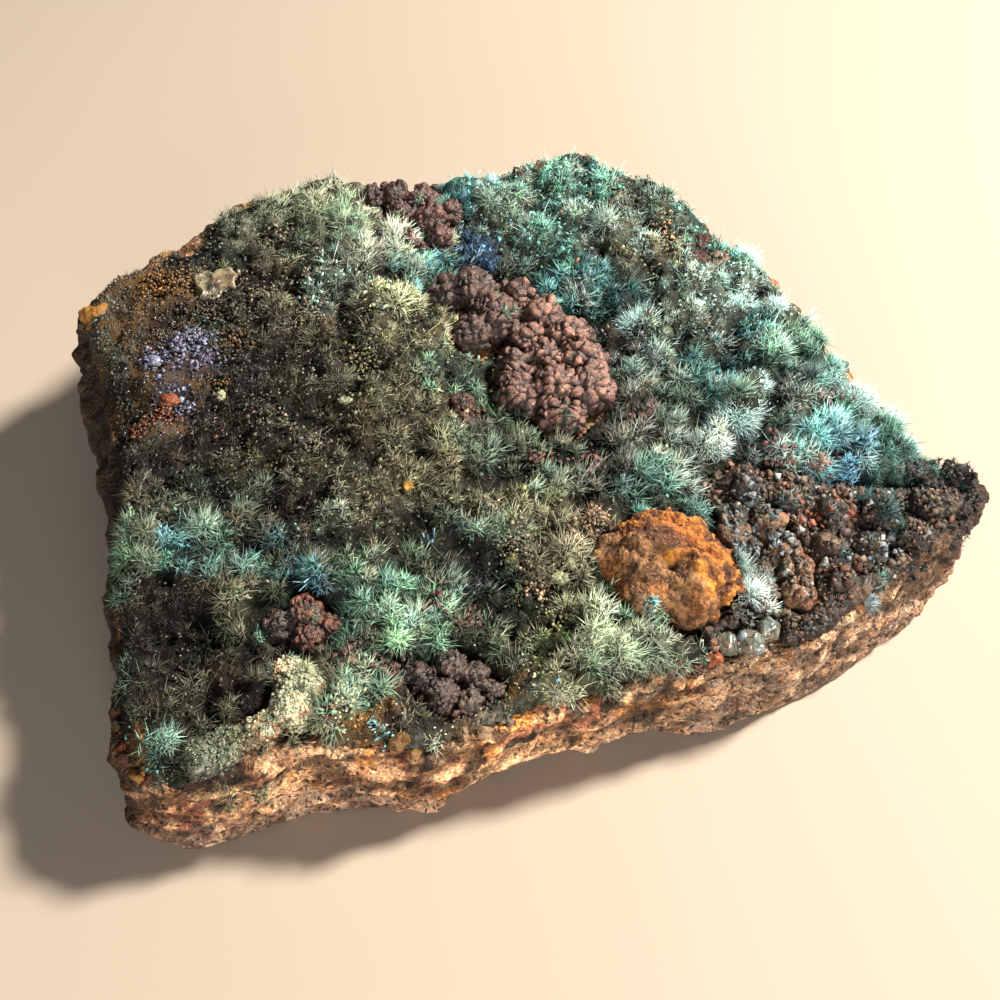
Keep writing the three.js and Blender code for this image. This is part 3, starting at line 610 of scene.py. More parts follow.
def unit_shape(kind):
    """A small shape to repeat, one long and one in half width: its points and three-cornered faces."""
    form = bmesh.new()
    if kind == "needle":
        bmesh.ops.create_cone(form, segments=3, radius1=1, radius2=0, depth=1, cap_ends=True,
                              matrix=Matrix.Translation((0, 0, 0.5)))
    if kind == "blade":
        bmesh.ops.create_cone(form, segments=4, radius1=1, radius2=0.55, depth=1, cap_ends=True,
                              matrix=Matrix.Translation((0, 0, 0.5)))
    if kind == "grain":
        bmesh.ops.create_icosphere(form, subdivisions=1, radius=1)
    if kind == "shard":
        bmesh.ops.create_cube(form, size=1.5)
        bmesh.ops.rotate(form, verts=form.verts[:4], matrix=Matrix.Rotation(0.5, 3, "Z"))
        bmesh.ops.scale(form, vec=(0.6, 1.2, 0.8), verts=form.verts[4:])
    if kind == "plate":
        bmesh.ops.create_cube(form, size=2)
    bmesh.ops.remove_doubles(form, verts=form.verts, dist=1e-5)
    bmesh.ops.triangulate(form, faces=form.faces)
    bmesh.ops.recalc_face_normals(form, faces=form.faces)
    form.verts.ensure_lookup_table()
    points = np.array([vertex.co[:] for vertex in form.verts])
    faces = np.array([[vertex.index for vertex in face.verts] for face in form.faces])
    form.free()
    return points, faces


def repeated(name, kind, places, frames, low_paint, high_paint):
    """Joins many copies of a small shape, each with its own place, axes, and colours at foot and tip."""
    points, faces = unit_shape(kind)
    count = len(places)
    spots = np.einsum("nij,pj->npi", frames, points) + places[:, None, :]
    height = np.clip(points[:, 2], 0, 1)[None, :, None]
    colours = low_paint[:, None, :] * (1 - height) + high_paint[:, None, :] * height
    corners = (faces[None, :, :] + (np.arange(count) * len(points))[:, None, None]).reshape(-1, 3)
    mesh = bpy.data.meshes.new(name)
    mesh.vertices.add(count * len(points))
    mesh.vertices.foreach_set("co", (spots * MM).ravel())
    mesh.loops.add(corners.size)
    mesh.loops.foreach_set("vertex_index", corners.ravel().astype(np.int32))
    mesh.polygons.add(len(corners))
    mesh.polygons.foreach_set("loop_start", np.arange(0, corners.size, 3, dtype=np.int32))
    mesh.update(calc_edges=True)
    piece = into_scene(name, mesh)
    tint(piece, colours.reshape(-1, 3))
    return piece


def axes_along(direction, chance):
    """Two axes square to each direction, turned by chance."""
    helper = np.where(np.abs(direction[:, 2:3]) < 0.9, np.array([[0.0, 0, 1]]), np.array([[1.0, 0, 0]]))
    side = np.cross(direction, helper)
    side /= np.linalg.norm(side, axis=1)[:, None]
    other = np.cross(direction, side)
    turn = chance.uniform(0, 2 * math.pi, len(direction))[:, None]
    return side * np.cos(turn) + other * np.sin(turn), other * np.cos(turn) - side * np.sin(turn)


def leaning(facing, widest, chance):
    """Directions spread evenly about the way that each place faces, up to the widest lean."""
    side, other = axes_along(facing, chance)
    upright = chance.uniform(np.cos(widest), 1, len(facing))[:, None]
    level = np.sqrt(1 - upright**2)
    round_about = chance.uniform(0, 2 * math.pi, len(facing))[:, None]
    return facing * upright + (side * np.cos(round_about) + other * np.sin(round_about)) * level


def tuft_places(spacing, chance):
    """Uneven places for tufts, in rows over the whole specimen."""
    places = []
    row = 0
    y = grid_y[0]
    while y < grid_y[-1]:
        x = grid_x[0] + (spacing / 2 if row % 2 else 0)
        while x < grid_x[-1]:
            places.append((x, y))
            x += spacing
        y += spacing * 0.866
        row += 1
    places = np.array(places)
    return places + chance.uniform(-0.42, 0.42, places.shape) * spacing


def bristles(tufts, surface, chance, wild=0.55):
    """The needles of some tufts: root, direction, length, half width, and the colours of foot and tip."""
    x, y = tufts["x"], tufts["y"]
    of_tuft = np.repeat(np.arange(len(x)), tufts["count"].astype(int))
    total = len(of_tuft)
    facing = slopes(surface, x, y)
    facing[:, 2] += 0.3
    facing += wild * chance.normal(0, 0.6, facing.shape) * np.array([1, 1, 0.25])
    facing /= np.linalg.norm(facing, axis=1)[:, None]
    direction = leaning(facing[of_tuft], np.radians(tufts["lean"])[of_tuft], chance)
    spread = 0.36 * np.minimum(tufts["reach"], 1.6)[of_tuft] * np.sqrt(chance.uniform(0, 1, total))
    around = chance.uniform(0, 2 * math.pi, total)
    root_x = x[of_tuft] + spread * np.cos(around)
    root_y = y[of_tuft] + spread * np.sin(around)
    root_z = read_field(surface, root_x, root_y) - 0.1
    length = tufts["reach"][of_tuft] * chance.uniform(0.45, 1.0, total)
    across = tufts["width"][of_tuft] * uneven(chance, 0.28, total)
    # The painted mound light at each root.
    height = read_field(mound_light, root_x, root_y)[:, None]
    tone = tufts["tone"][of_tuft]
    brightness = np.maximum(brightness_across(root_x, root_y), 0.6 * greenness(tone))[:, None]
    soft_shade = ease(root_x + 0.4 * root_y, 4, 12)[:, None]
    # Painted shade: each needle is darkened by chance and by the mound light, less so behind on the right,
    # where the painted shade is softer.
    shade = np.exp(chance.normal(0, 0.6, (total, 1)) * (1 - 0.4 * soft_shade)).clip(0.15, 2.8)
    shade = shade * blend(0.1, 1.35, height) * brightness
    # Painted highlights: a fifth of the needles get bright tips.
    bright = (chance.uniform(0, 1, total) < 0.2) * 0.8
    strength = (0.35 + 3.2 * tone.mean(axis=1)).clip(0.35, 1.1)
    tip = ((tufts["pale"][of_tuft] * chance.uniform(0.2, 1.1, total) + bright) * strength).clip(0, 0.9)
    own = tone / tone.max(axis=1, keepdims=True) * 0.72
    tinted = chance.uniform(0, 1, total) < 0.8
    clear = blend(pale_tip(root_x, root_y), own, 0.6 * greenness(tone) * tinted)
    # The foot is painted dark as the shade among the tufts, lighter behind on the right; the tip goes to the
    # pale colour, brighter on the lit mound tops.
    low = tone * (0.22 + 0.2 * soft_shade) * shade
    high = blend(tone * 1.25 * shade, clear * (0.3 + 0.85 * height) * brightness, tip)
    return np.stack([root_x, root_y, root_z], axis=1), direction, length, across, low, high


def crust_tufts(chance):
    """Tufts all over the crust, each from the stand that grows there, the great sprays and stray needles."""
    strays = 560
    spots = tuft_places(1.5, chance)
    shown = read_field(crust_share, spots[:, 0], spots[:, 1])
    open_here = chance.uniform(0, 1, len(spots)) > 0.85 * read_field(hole, spots[:, 0], spots[:, 1])
    spots = spots[(shown > 0.45) & open_here]
    great = np.array(GREAT_SPRAYS)
    stray = spots[chance.integers(0, len(spots), strays)] + chance.uniform(-0.7, 0.7, (strays, 2))
    x = np.concatenate([spots[:, 0], great[:, 0], stray[:, 0]])
    y = np.concatenate([spots[:, 1], great[:, 1], stray[:, 1]])
    chosen = pick_stand(x, y, chance)
    table = np.array(list(HABITS.values()))[stand_habit[chosen]]
    number = np.arange(len(x))
    is_stray = number >= len(spots) + len(great)
    is_great = (number >= len(spots)) & ~is_stray
    bare = stand_habit[chosen] == habit_names.index("stubble")
    reach = table[:, 0] * chance.uniform(0.7, 1.3, len(x))
    reach[is_great] = great[:, 2] * 0.9
    reach[is_stray] = np.where(bare[is_stray], 0.9, 2.5) * chance.uniform(0.7, 1.25, strays)
    reach[is_stray] *= 0.5 + 0.5 * read_field(inner_share, x, y)[is_stray]
    softer = 1 - 0.35 * ease(x + 0.4 * y, 0, 8)
    grey = stand_paint[chosen].mean(axis=1, keepdims=True) * np.array([1.0, 1.04, 0.86])
    tone = blend(stand_paint[chosen], grey, 0.1) * uneven(chance, 0.38, len(x), 1)
    tone = mottled(tone * uneven(chance, 0.1, len(x), 3), x, y)
    count = np.where(is_great, 200, table[:, 1] * chance.uniform(0.7, 1.3, len(x)))
    return {
        "x": x,
        "y": y,
        "reach": reach,
        "tone": tone,
        "count": np.where(is_stray, 8, count),
        "lean": table[:, 2],
        "width": np.where(is_great | is_stray, 0.056 * (0.4 + 0.6 * softer), table[:, 3]),
        "pale": np.where(is_great, 0.6 * softer, np.where(is_stray, 0.75 * softer, table[:, 4])),
    }


def few_tufts(rows, chance):
    """Tufts from rows of x, y, reach, needles, colour and how pale their tips are."""
    x, y, reach, count, colours, pale = zip(*rows)
    return {
        "x": np.array(x),
        "y": np.array(y),
        "reach": np.array(reach),
        "count": np.array(count),
        "tone": np.array([paint(colour) for colour in colours]) * uneven(chance, 0.2, len(rows), 1),
        "pale": np.array(pale),
        "lean": np.full(len(rows), 76.0),
        "width": np.full(len(rows), 0.045),
    }


def needles_of(name, grown, chance):
    """Joins grown needles into one piece, bent over where they would stand taller than the specimen."""
    roots, direction, length, across, low, high = grown
    room = np.maximum(highest - roots[:, 2], 0.1) / length
    upright = np.minimum(direction[:, 2], room)
    level = np.linalg.norm(direction[:, :2], axis=1).clip(1e-6)
    direction = np.column_stack([direction[:, :2] * (np.sqrt(1 - upright**2) / level)[:, None], upright])
    side, other = axes_along(direction, chance)
    frames = np.stack([side * across[:, None], other * across[:, None], direction * length[:, None]], axis=2)
    return repeated(name, "needle", roots, frames, low, high)


def puff_needles(chance):
    """Hair-fine needles that stand out all round each of the hazy mounds."""
    x, y, radius = np.array([puff[:3] for puff in PUFFS]).T
    tone = np.array([paint(puff[3]) for puff in PUFFS])
    tone = blend(tone, pale_tip(x, y) * 0.9, 0.2 + 0.45 * ease(x + y, -12, 10))
    count = 190 * radius**2 * (1 + 0.6 * ease(x + 0.4 * y, 4, 12))
    of_puff = np.repeat(np.arange(len(x)), count.astype(int))
    total = len(of_puff)
    direction = leaning(np.tile([0.0, 0, 1], (total, 1)), math.radians(88), chance)
    jitter = chance.normal(0, 0.16, (total, 3)) * radius[of_puff][:, None]
    middles = np.column_stack([x, y, read_field(rock_top, x, y) + 0.5])[of_puff]
    out = direction * np.array([1, 1, 0.75])
    roots = middles + jitter + out * (radius[of_puff] * chance.uniform(0.4, 0.62, total))[:, None]
    length = radius[of_puff] * chance.uniform(0.25, 0.55, total)
    across = 0.021 * uneven(chance, 0.25, total)
    brightness = brightness_across(roots[:, 0], roots[:, 1])[:, None]
    # Painted light: needles that point up are lighter and those that lean over darker, and their feet are
    # painted darker still as shade.
    shade = uneven(chance, 0.3, total, 1) * brightness * blend(0.4, 1.5, ease(direction[:, 2:3], 0.0, 0.8))
    strength = (0.4 + 2.2 * tone.mean(axis=1, keepdims=True)).clip(0, 1)
    tip = chance.uniform(0.35, 1.0, (total, 1)) * strength[of_puff]
    low = tone[of_puff] * 0.6 * shade
    high = blend(tone[of_puff] * shade, pale_tip(roots[:, 0], roots[:, 1]) * brightness * 1.05, tip)
    return roots, direction, length, across, low, high


def needle_pieces():
    """The crust's needles in pieces that each stay small enough to keep whole."""
    chance = np.random.default_rng(7)
    grown = bristles(crust_tufts(chance), ground_top, chance)
    grown = [np.concatenate(pair) for pair in zip(grown, puff_needles(chance))]
    order = np.argsort(grown[0][:, 0])
    most = 46000
    made = []
    for start in range(0, len(order), most):
        part = order[start:start + most]
        name = f"aurichalcite needles {start // most + 1}"
        made.append(needles_of(name, [field[part] for field in grown], chance))
    return made


def grain_piece(name, kind, places, sizes, tones, chance, flatness=0.6):
    """Many small grains or plates, each turned and stretched by chance."""
    turned = leaning(np.tile([0.0, 0, 1], (len(places), 1)), math.radians(60), chance)
    side, other = axes_along(turned, chance)
    wide = sizes * chance.uniform(0.7, 1.4, len(sizes))
    deep = sizes * chance.uniform(0.7, 1.4, len(sizes))
    tall = sizes * flatness * chance.uniform(0.7, 1.3, len(sizes))
    frames = np.stack([side * wide[:, None], other * deep[:, None], turned * tall[:, None]], axis=2)
    # Each grain is painted darker towards its foot, as shade on its lower side.
    return repeated(name, kind, places, frames, tones * 0.8, tones)


def crust_grains():
    """Loose and clear grains caught among the needles, thickest where the crust is bare."""
    chance = np.random.default_rng(17)
    tried = 46000
    x = chance.uniform(-43, 43, tried)
    y = chance.uniform(-36, 36, tried)
    thick = np.array([0.3, 0.12, 0.06, 1.0, 0.12, 0.15])[stand_habit[pick_stand(x, y, chance)]]
    thick = np.maximum(thick, 0.42 * ease(-x - 0.5 * y, 8, 20) * ease(y, -14, -8))
    kept = (read_field(crust_share, x, y) > 0.5) & (chance.uniform(0, 1, tried) < thick)
    x, y = x[kept], y[kept]
    count = len(x)
    chosen = pick_stand(x, y, chance, 0.9)
    sizes = np.exp(chance.normal(math.log(0.11), 0.45, count)).clip(0.04, 0.3)
    stubble = stand_habit[chosen] == habit_names.index("stubble")
    above = np.where(stubble, 0.05, chance.uniform(0.1, 0.75, count))
    spots = np.column_stack([x, y, read_field(ground_top, x, y) + above])
    tones = stand_paint[chosen] * np.exp(chance.normal(-0.1, 0.4, (count, 1))).clip(0.3, 1.8)
    pick = chance.uniform(0, 1, count)
    sizes = np.where(pick < 0.09, np.minimum(sizes, 0.09), sizes)
    # The grains take the painted mound light, lighter on the mound tops and darker in the hollows, and the
    # painted brightness across the crust.
    brightness = brightness_across(x, y)[:, None]
    tones = tones * (0.4 + 0.7 * read_field(mound_light, x, y))[:, None] * brightness
    tones = np.where((pick < 0.07)[:, None], blend(tones, pale_tip(x, y) * brightness, 0.6), tones)
    brown = paint("umber") * chance.uniform(0.3, 1.0, (count, 1)) * brightness
    tones = np.where((pick > 0.93)[:, None], brown, tones)
    return grain_piece("crust grains", "shard", spots, sizes, tones, chance)


def knobbly(piece, size, height, seed, depth, dark, light, sheen):
    """Swells a piece into small domes on larger ones and colours each a little differently, darker towards
    the left, with a painted sheen on the dome tops that face up, strongest towards the right, and painted
    shade in the creases.
    """
    points = points_of(piece)
    facing = normals_of(piece)
    wander = size * 0.8 * wavering(points, size * 1.3, seed)
    near, following, number = lumps(points + wander, size, seed)
    broad_near, broad_following, broad_number = lumps(points + 2 * wander, size * 2.3, seed + 9)
    dome = round_top(near, 0.95)
    broad_dome = round_top(broad_near, 0.95)
    crease = ease(following - near, 0.0, 0.18)
    broad_crease = ease(broad_following - broad_near, 0.0, 0.2)
    fine = rough_noise(points, 0.45, seed + 3, 3)
    broken = rough_noise(points, 2.2, seed + 4, 4)
    rise = height * (dome * (0.5 + number) * crease - 0.6)
    rise += 1.3 * height * (broad_dome * (0.5 + 0.6 * broad_number) - 0.5)
    rise += 0.2 * (fine - 0.5) + 0.9 * (broken - 0.5)
    move_points(piece, points + facing * rise[:, None])
    tone = blend(dark, light, 0.25 + 0.45 * number + 0.3 * broad_number)
    along = ease(points[:, 0], points[:, 0].min() + 2, points[:, 0].max() - 4)
    # Painted sheen: the dome tops that face up are blended towards the sheen colour, more towards the right.
    shine = (0.1 + 0.6 * along) * ease(dome, 0.4, 1.0) * ease(facing[:, 2], 0.1, 0.9)
    tone = blend(tone, sheen, shine)
    tone = blend(tone, "soot", 0.7 * ease(broken, 0.42, 0.34))
    # Painted shade in the creases between the small and the large domes, broken up by fine grit.
    crease_shade = (0.22 + 0.78 * crease) * (0.35 + 0.65 * broad_crease) * np.exp(2.4 * (fine - 0.5))
    tint(piece, tone * (depth * blend(0.38, 0.95, along) * crease_shade)[:, None])
    return piece


def rock_finish_points():
    """Breaks up the rock's faces and colours them, with its foot kept flat."""
    points = points_of(rock)
    x, y, z = points.T
    facing = normals_of(rock)
    foot = z < 0.35
    covered = read_field(crust_share, x, y) * ease(facing[:, 2], 0.2, 0.6)
    inside = read_field(inner_share, x, y) * ease(facing[:, 2], 0.1, 0.5)
    broad = rough_noise(points, 7, 11, 3) - 0.5
    middle = rough_noise(points, 2.2, 12, 3) - 0.5
    near, following, number = lumps(points + 1.5 * middle[:, None], 2.4, 13)
    small_near, small_following, small_number = lumps(points, 0.95, 23)
    chips = ease(following - near, 0, 0.3)
    grains = round_top(small_near)
    ledges = rough_noise(points * np.array([0.5, 0.5, 1.6]), 1.9, 29, 4) - 0.5
    rise = 1.9 * broad + 1.5 * middle + 1.6 * ledges
    rise += 0.3 * (number - 0.6) + 0.25 * (chips - 0.8) + 0.15 * (grains - 0.7)
    rise = np.where(covered > 0.1, np.minimum(rise, 0) * 0.4 - 0.1, rise)
    rise = rise * ease(z, 0.1, 1.6)
    moved = points + facing * rise[:, None]
    moved[:, 2] = np.maximum(moved[:, 2], 0)
    moved[foot, 2] = z[foot]
    move_points(rock, moved)
    zone = rough_noise(points, 5, 15, 4)
    grainy = rough_noise(points, 1.1, 16, 4)
    tone = blend("buff", "clinker", ease(zone, 0.44, 0.6))
    tone = blend(tone, "copper", 0.8 * patches(points, 3.0, 18, 4, 0.55, 0.68))
    front_left = ease(x, -30, -24) * ease(-x, -2, 8) * ease(-y, 22, 28)
    front_left = 0.85 * front_left * patches(points, 6, 28, 3, 0.42, 0.56)
    tone = blend(tone, "liver", front_left)
    tone = blend(tone, "sand", 0.8 * ease(grainy, 0.54, 0.64))
    tone = blend(tone, "char", 0.9 * patches(points, 1.7, 19, 4, 0.55, 0.64))
    # Painted shade in the recesses of the ledges: their low bands are painted much darker.
    tone = tone * blend(0.3, 1.2, ease(ledges, -0.1, 0.06))[:, None]
    tone = tone * (1.08 + 0.5 * np.exp(-((x + 3) / 7) ** 2))[:, None]
    tone = tone * blend(1.0, 0.62, ease(x, 5, 14))[:, None]
    east = ease(x, 4, 26)
    dusty = blend("dust", "chalk", ease(grainy, 0.4, 0.6))
    low_band = ease(-z, -6, -2.5)
    tone = blend(tone, dusty, 0.6 * np.maximum(east * (0.5 + 0.5 * ease(z, 12, 5)), low_band))
    # Painted shade: the faces turned to the left, away from the key lamp, are painted almost black, and so
    # is the whole far left end.
    west = ease(-facing[:, 0], 0.25, 0.6) * ease(-x, 20, 28)
    west = np.maximum(ease(-x, 33, 39), west)
    tone = blend(tone, blend("char", "earth", grainy), 0.96 * west)
    low_left = ease(-x, 26, 34) * ease(-y, 16, 24)
    tone = blend(tone, blend("char", "loam", grainy), 0.88 * low_left)
    # Painted shade: the rock's upward faces well inside the crust, seen only in the gaps between the crust's
    # pieces, are painted near black.
    tone = blend(tone, "cellar", 0.9 * ease(inside, 0.05, 0.3))
    behind = ease(y, 12, 24)
    tone = blend(tone, blend("char", "bark", grainy), 0.85 * behind)
    tip = ease(x, 34, 38) * ease(z, 7, 11)
    tone = blend(tone, blend("char", "bark", grainy) * 0.5, 0.92 * tip)
    # Painted shade in the cracks between the chips and between the small grains.
    tone = tone * (0.65 + 0.35 * chips)[:, None]
    tone = tone * (0.7 + 0.3 * ease(small_following - small_near, 0, 0.25))[:, None]
    tint(rock, tone * (0.75 + 0.55 * small_number)[:, None])


class Value:
    """A number in a shader, worked with as in ordinary sums."""

    def __init__(self, finish, socket):
        self.finish = finish
        self.socket = socket

    def sum_of(self, operation, first, second):
        return self.finish.add("ShaderNodeMath", {"operation": operation}, {0: first, 1: second})

    def __add__(self, other):
        return self.sum_of("ADD", self, other)

    def __mul__(self, other):
        return self.sum_of("MULTIPLY", self, other)


class Finish:
    """A material, and the nodes that give it colour and relief."""

    def __init__(self, name):
        self.material = bpy.data.materials.new(name)
        self.material.use_nodes = True
        self.nodes = self.material.node_tree.nodes
        self.links = self.material.node_tree.links
        self.nodes.clear()
        self.place = self.add("ShaderNodeTexCoord", {}, {}, "Object")

    def add(self, kind, settings, inputs, output=0):
        """Adds a node: first its settings, then the values or links of its sockets."""
        node = self.nodes.new(kind)
        for setting, value in settings.items():
            setattr(node, setting, value)
        for socket, value in inputs.items():
            if isinstance(value, Value):
                self.links.new(value.socket, node.inputs[socket])
            else:
                node.inputs[socket].default_value = value
        return Value(self, node.outputs[output]) if len(node.outputs) else node

    def noise(self, size, detail=4):
        """Uneven noise with swells of that many millimetres."""
        inputs = {"Vector": self.place, "Scale": 1 / (size * MM), "Detail": detail}
        return self.add("ShaderNodeTexNoise", {}, inputs)

    def cells(self, size):
        """Distance from the middle of irregular cells of that many millimetres."""
        inputs = {"Vector": self.place, "Scale": 1 / (size * MM)}
        return self.add("ShaderNodeTexVoronoi", {}, inputs, "Distance")

    def between(self, value, low, high):
        """Rises from 0 to 1 as the value goes from low to high."""
        return self.add("ShaderNodeMapRange", {"interpolation_type": "SMOOTHSTEP"},
                        {"Value": value, "From Min": low, "From Max": high})

    def mix(self, share, first, second, way="MIX"):
        """Mixes two colours."""
        settings = {"data_type": "RGBA", "blend_type": way}
        return self.add("ShaderNodeMix", settings, {0: share, 6: first, 7: second}, 2)

    def painted(self):
        """The colour stored at the piece's own points."""
        return self.add("ShaderNodeAttribute", {"attribute_name": "tint"}, {}, "Color")

    def relief(self, height, depth):
        """Small relief that high in millimetres."""
        return self.add("ShaderNodeBump", {}, {"Height": height, "Strength": 1.0, "Distance": depth * MM})

    def done(self, **inputs):
        """Ends the material in one surface shader."""
        named = {socket.replace("_", " "): value for socket, value in inputs.items()}
        surface = self.add("ShaderNodeBsdfPrincipled", {}, named)
        self.add("ShaderNodeOutputMaterial", {}, {"Surface": surface})
        return self.material


def opaque(colour):
    """A shader's colour with nothing see-through in it."""
    return (*[float(part) for part in as_colour(colour)], 1.0)


def rock_material():
    """Brown ironstone: gritty, with pale, warm and black grains."""
    finish = Finish("gossan")
    speck = finish.cells(0.42)
    grit = finish.noise(0.26, 6)
    coarse = finish.noise(0.9, 6)
    pale = finish.between(grit, 0.50, 0.60)
    warm = finish.between(coarse, 0.52, 0.62) * 0.6
    black = finish.between(finish.noise(0.5, 6), 0.53, 0.64) * 0.85
    colour = finish.mix(pale, finish.painted(), opaque((2.0, 1.95, 1.85)), "MULTIPLY")
    colour = finish.mix(warm, colour, opaque((1.6, 1.4, 1.1)), "MULTIPLY")
    colour = finish.mix(black, colour, opaque("char"))
    relief = finish.relief(grit * 0.8 + coarse * 1.2 + speck * 0.4, 0.9)
    rough = finish.between(grit, 0.3, 0.7) * 0.25 + 0.68
    return finish.done(Base_Color=colour, Roughness=rough, Normal=relief, Specular_IOR_Level=0.3)


def ground_material():
    """The matt root layer of the crust."""
    finish = Finish("crust ground")
    grit = finish.noise(0.3, 4)
    colour = finish.mix(finish.between(grit, 0.6, 0.75) * 0.15, finish.painted(), opaque("frost"))
    relief = finish.relief(grit + finish.noise(0.9, 3), 0.4)
    return finish.done(Base_Color=colour, Roughness=0.75, Normal=relief, Specular_IOR_Level=0.15)


def needle_material():
    """Needles, in the colours that their own points carry."""
    finish = Finish("aurichalcite")
    return finish.done(Base_Color=finish.painted(), Roughness=0.38, Specular_IOR_Level=0.3)


def goethite_material():
    """Dark knobs with a dull shine, mottled dusty red and black."""
    finish = Finish("goethite")
    grit = finish.noise(0.2, 5)
    dusty = finish.between(grit, 0.54, 0.7) * 0.45
    black = finish.between(finish.noise(0.35, 4), 0.55, 0.68) * 0.6
    colour = finish.mix(dusty, finish.painted(), opaque("rouge"))
    colour = finish.mix(black, colour, opaque("char"))
    relief = finish.relief(grit + finish.noise(0.6, 3), 0.22)
    rough = finish.between(grit, 0.3, 0.7) * 0.3 + 0.3
    return finish.done(Base_Color=colour, Roughness=rough, Normal=relief, Specular_IOR_Level=0.65)


def limonite_material():
    """Earthy orange ironstone, mottled brown and yellow."""
    finish = Finish("limonite")
    grit = finish.noise(0.34, 6)
    brown = finish.between(grit, 0.5, 0.62) * 0.55
    yellow = finish.between(finish.noise(0.22, 5), 0.54, 0.66) * 0.35
    colour = finish.mix(brown, finish.painted(), opaque("cocoa"))
    colour = finish.mix(yellow, colour, opaque("apricot"))
    relief = finish.relief(grit + finish.noise(1.2, 5), 0.55)
    return finish.done(Base_Color=colour, Roughness=0.8, Normal=relief)


def druse_material():
    """Small dark crystals, half matt."""
    finish = Finish("druse")
    grit = finish.noise(0.4, 5)
    relief = finish.relief(grit + finish.cells(0.7) * 0.6, 0.35)
    rough = finish.between(grit, 0.35, 0.65) * 0.35 + 0.35
    return finish.done(Base_Color=finish.painted(), Roughness=rough, Normal=relief, Specular_IOR_Level=0.35)


def glassy_material(name, rough):
    """Clear or pale crystals with even, shining faces."""
    finish = Finish(name)
    relief = finish.relief(finish.noise(0.3, 3), 0.06)
    return finish.done(Base_Color=finish.painted(), Roughness=rough, Normal=relief, Specular_IOR_Level=0.7)


def finish_piece(piece, material, slot, *nodes):
    """Gives a piece its material, hangs it under the root body and hides the CAD solids it stands for; its
    slot is not used.
    """
    piece.data.materials.clear()
    piece.data.materials.append(material)
    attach(piece, "root")
    if nodes:
        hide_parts(*nodes)


gossan = rock_material()
ground_finish = ground_material()
needle_finish = needle_material()
goethite = goethite_material()
limonite = limonite_material()
druse_finish = druse_material()
glassy = glassy_material("clear grains", 0.15)
satin = glassy_material("pale crust", 0.4)


def is_on(node, x, y):
    """Whether that CAD solid is the topmost one at some places."""
    i = np.rint((np.asarray(x) - grid_x[0]) / GRID_STEP).astype(int)
    j = np.rint((np.asarray(y) - grid_y[0]) / GRID_STEP).astype(int)
    return grown_by[i, j] == NODES.index(node)


rock_finish_points()
finish_piece(rock, gossan, "gossan", "gossan_matrix")
finish_piece(crust_ground(), ground_finish, "aurichalcite", "aurichalcite_crust")
for stand in needle_pieces():
    finish_piece(stand, needle_finish, "aurichalcite")

# Masses of knobs: name, solid, grain, softening, knob size and height, seed, depth of colour, and colours:
# dark, light and the painted sheen.
for name, node, grain, softening, size, height, seed, depth, paints in (
    ("ridge", "goethite_ridge", 0.14, 22, 0.98, 0.46, 101, 1.0, ("char", "plum", "pink")),
    ("back knobs", "goethite_knobs_back", 0.14, 16, 0.85, 0.44, 111, 0.9, ("maroon", "maroon", "plum")),
    ("left beads", "goethite_beads_left", 0.13, 14, 0.75, 0.34, 121, 0.7, ("char", "maroon", "rust")),
    ("front beads", "goethite_beads_front", 0.13, 14, 0.6, 0.34, 131, 0.6, ("char", "maroon", "ash")),
    ("red chip", "goethite_chip", 0.1, 3, 1.1, 0.2, 141, 1.0, ("maroon", "rust", "plum")),
):
    form = fine_copy(f"{name} of goethite", node, grain, softening)
    finish_piece(knobbly(form, size, height, seed, depth, *paints), goethite, "goethite", node)


def nodule_piece():
    """The ball of orange limonite, fibrous on top and lumpy lower down, painted darker lower down as shade,
    and with painted shade in the grooves between the fibres and the creases between the lumps.
    """
    piece = fine_copy("ball of limonite", "limonite_nodule", 0.17, 14)
    points = points_of(piece)
    facing = normals_of(piece)
    swirl = 1.6 * wavering(points, 3, 161)
    fibres = rough_noise((points + swirl) * np.array([0.45, 1.0, 1.0]), 0.75, 151, 4)
    waves = rough_noise(points, 2.6, 152, 3)
    near, following, number = lumps(points + 0.8 * swirl, 0.95, 153)
    lumpy = ease(-(points[:, 1] + 17.2) - 0.75 * (points[:, 0] - 13.4), -0.7, 1.0)
    rise = 2.8 * (waves - 0.5) + (1 - lumpy) * 1.9 * (fibres - 0.5)
    rise += lumpy * 0.6 * (round_top(near) - 0.6) * (0.4 + number)
    move_points(piece, points + facing * (rise - 0.4)[:, None])
    orange = blend("amber", "resin", ease(waves, 0.42, 0.6))
    orange = blend(orange, "honey", 0.7 * ease(fibres, 0.52, 0.66))
    # Painted shade in the grooves between the fibres.
    orange = orange * blend(0.4, 1.0, ease(fibres, 0.36, 0.46))[:, None]
    brown = blend("walnut", "oak", number)
    brown = blend(brown, "caramel", 0.8 * ease(soft_noise(points, 1.7, 158), 0.5, 0.7))
    # Painted shade in the creases between the lumps.
    brown = brown * (0.45 + 0.55 * ease(following - near, 0, 0.3))[:, None]
    tone = blend(orange, brown, lumpy)
    for x, y, reach in ((12.9, -17.4, 0.5), (15.4, -18.6, 0.6), (16.2, -19.6, 0.5)):
        close = ease(-np.hypot(points[:, 0] - x, points[:, 1] - y), -reach - 0.3, -reach + 0.3)
        tone = blend(tone, "saffron", 0.9 * close)
    # Painted shade: darker towards the bottom.
    tone = tone * blend(0.25, 1.0, ease(points[:, 2], 12.4, 14.4))[:, None]
    tint(piece, tone * (0.6 + 0.8 * rough_noise(points, 0.4, 157, 2))[:, None])
    return piece


finish_piece(nodule_piece(), limonite, "limonite", "limonite_nodule")


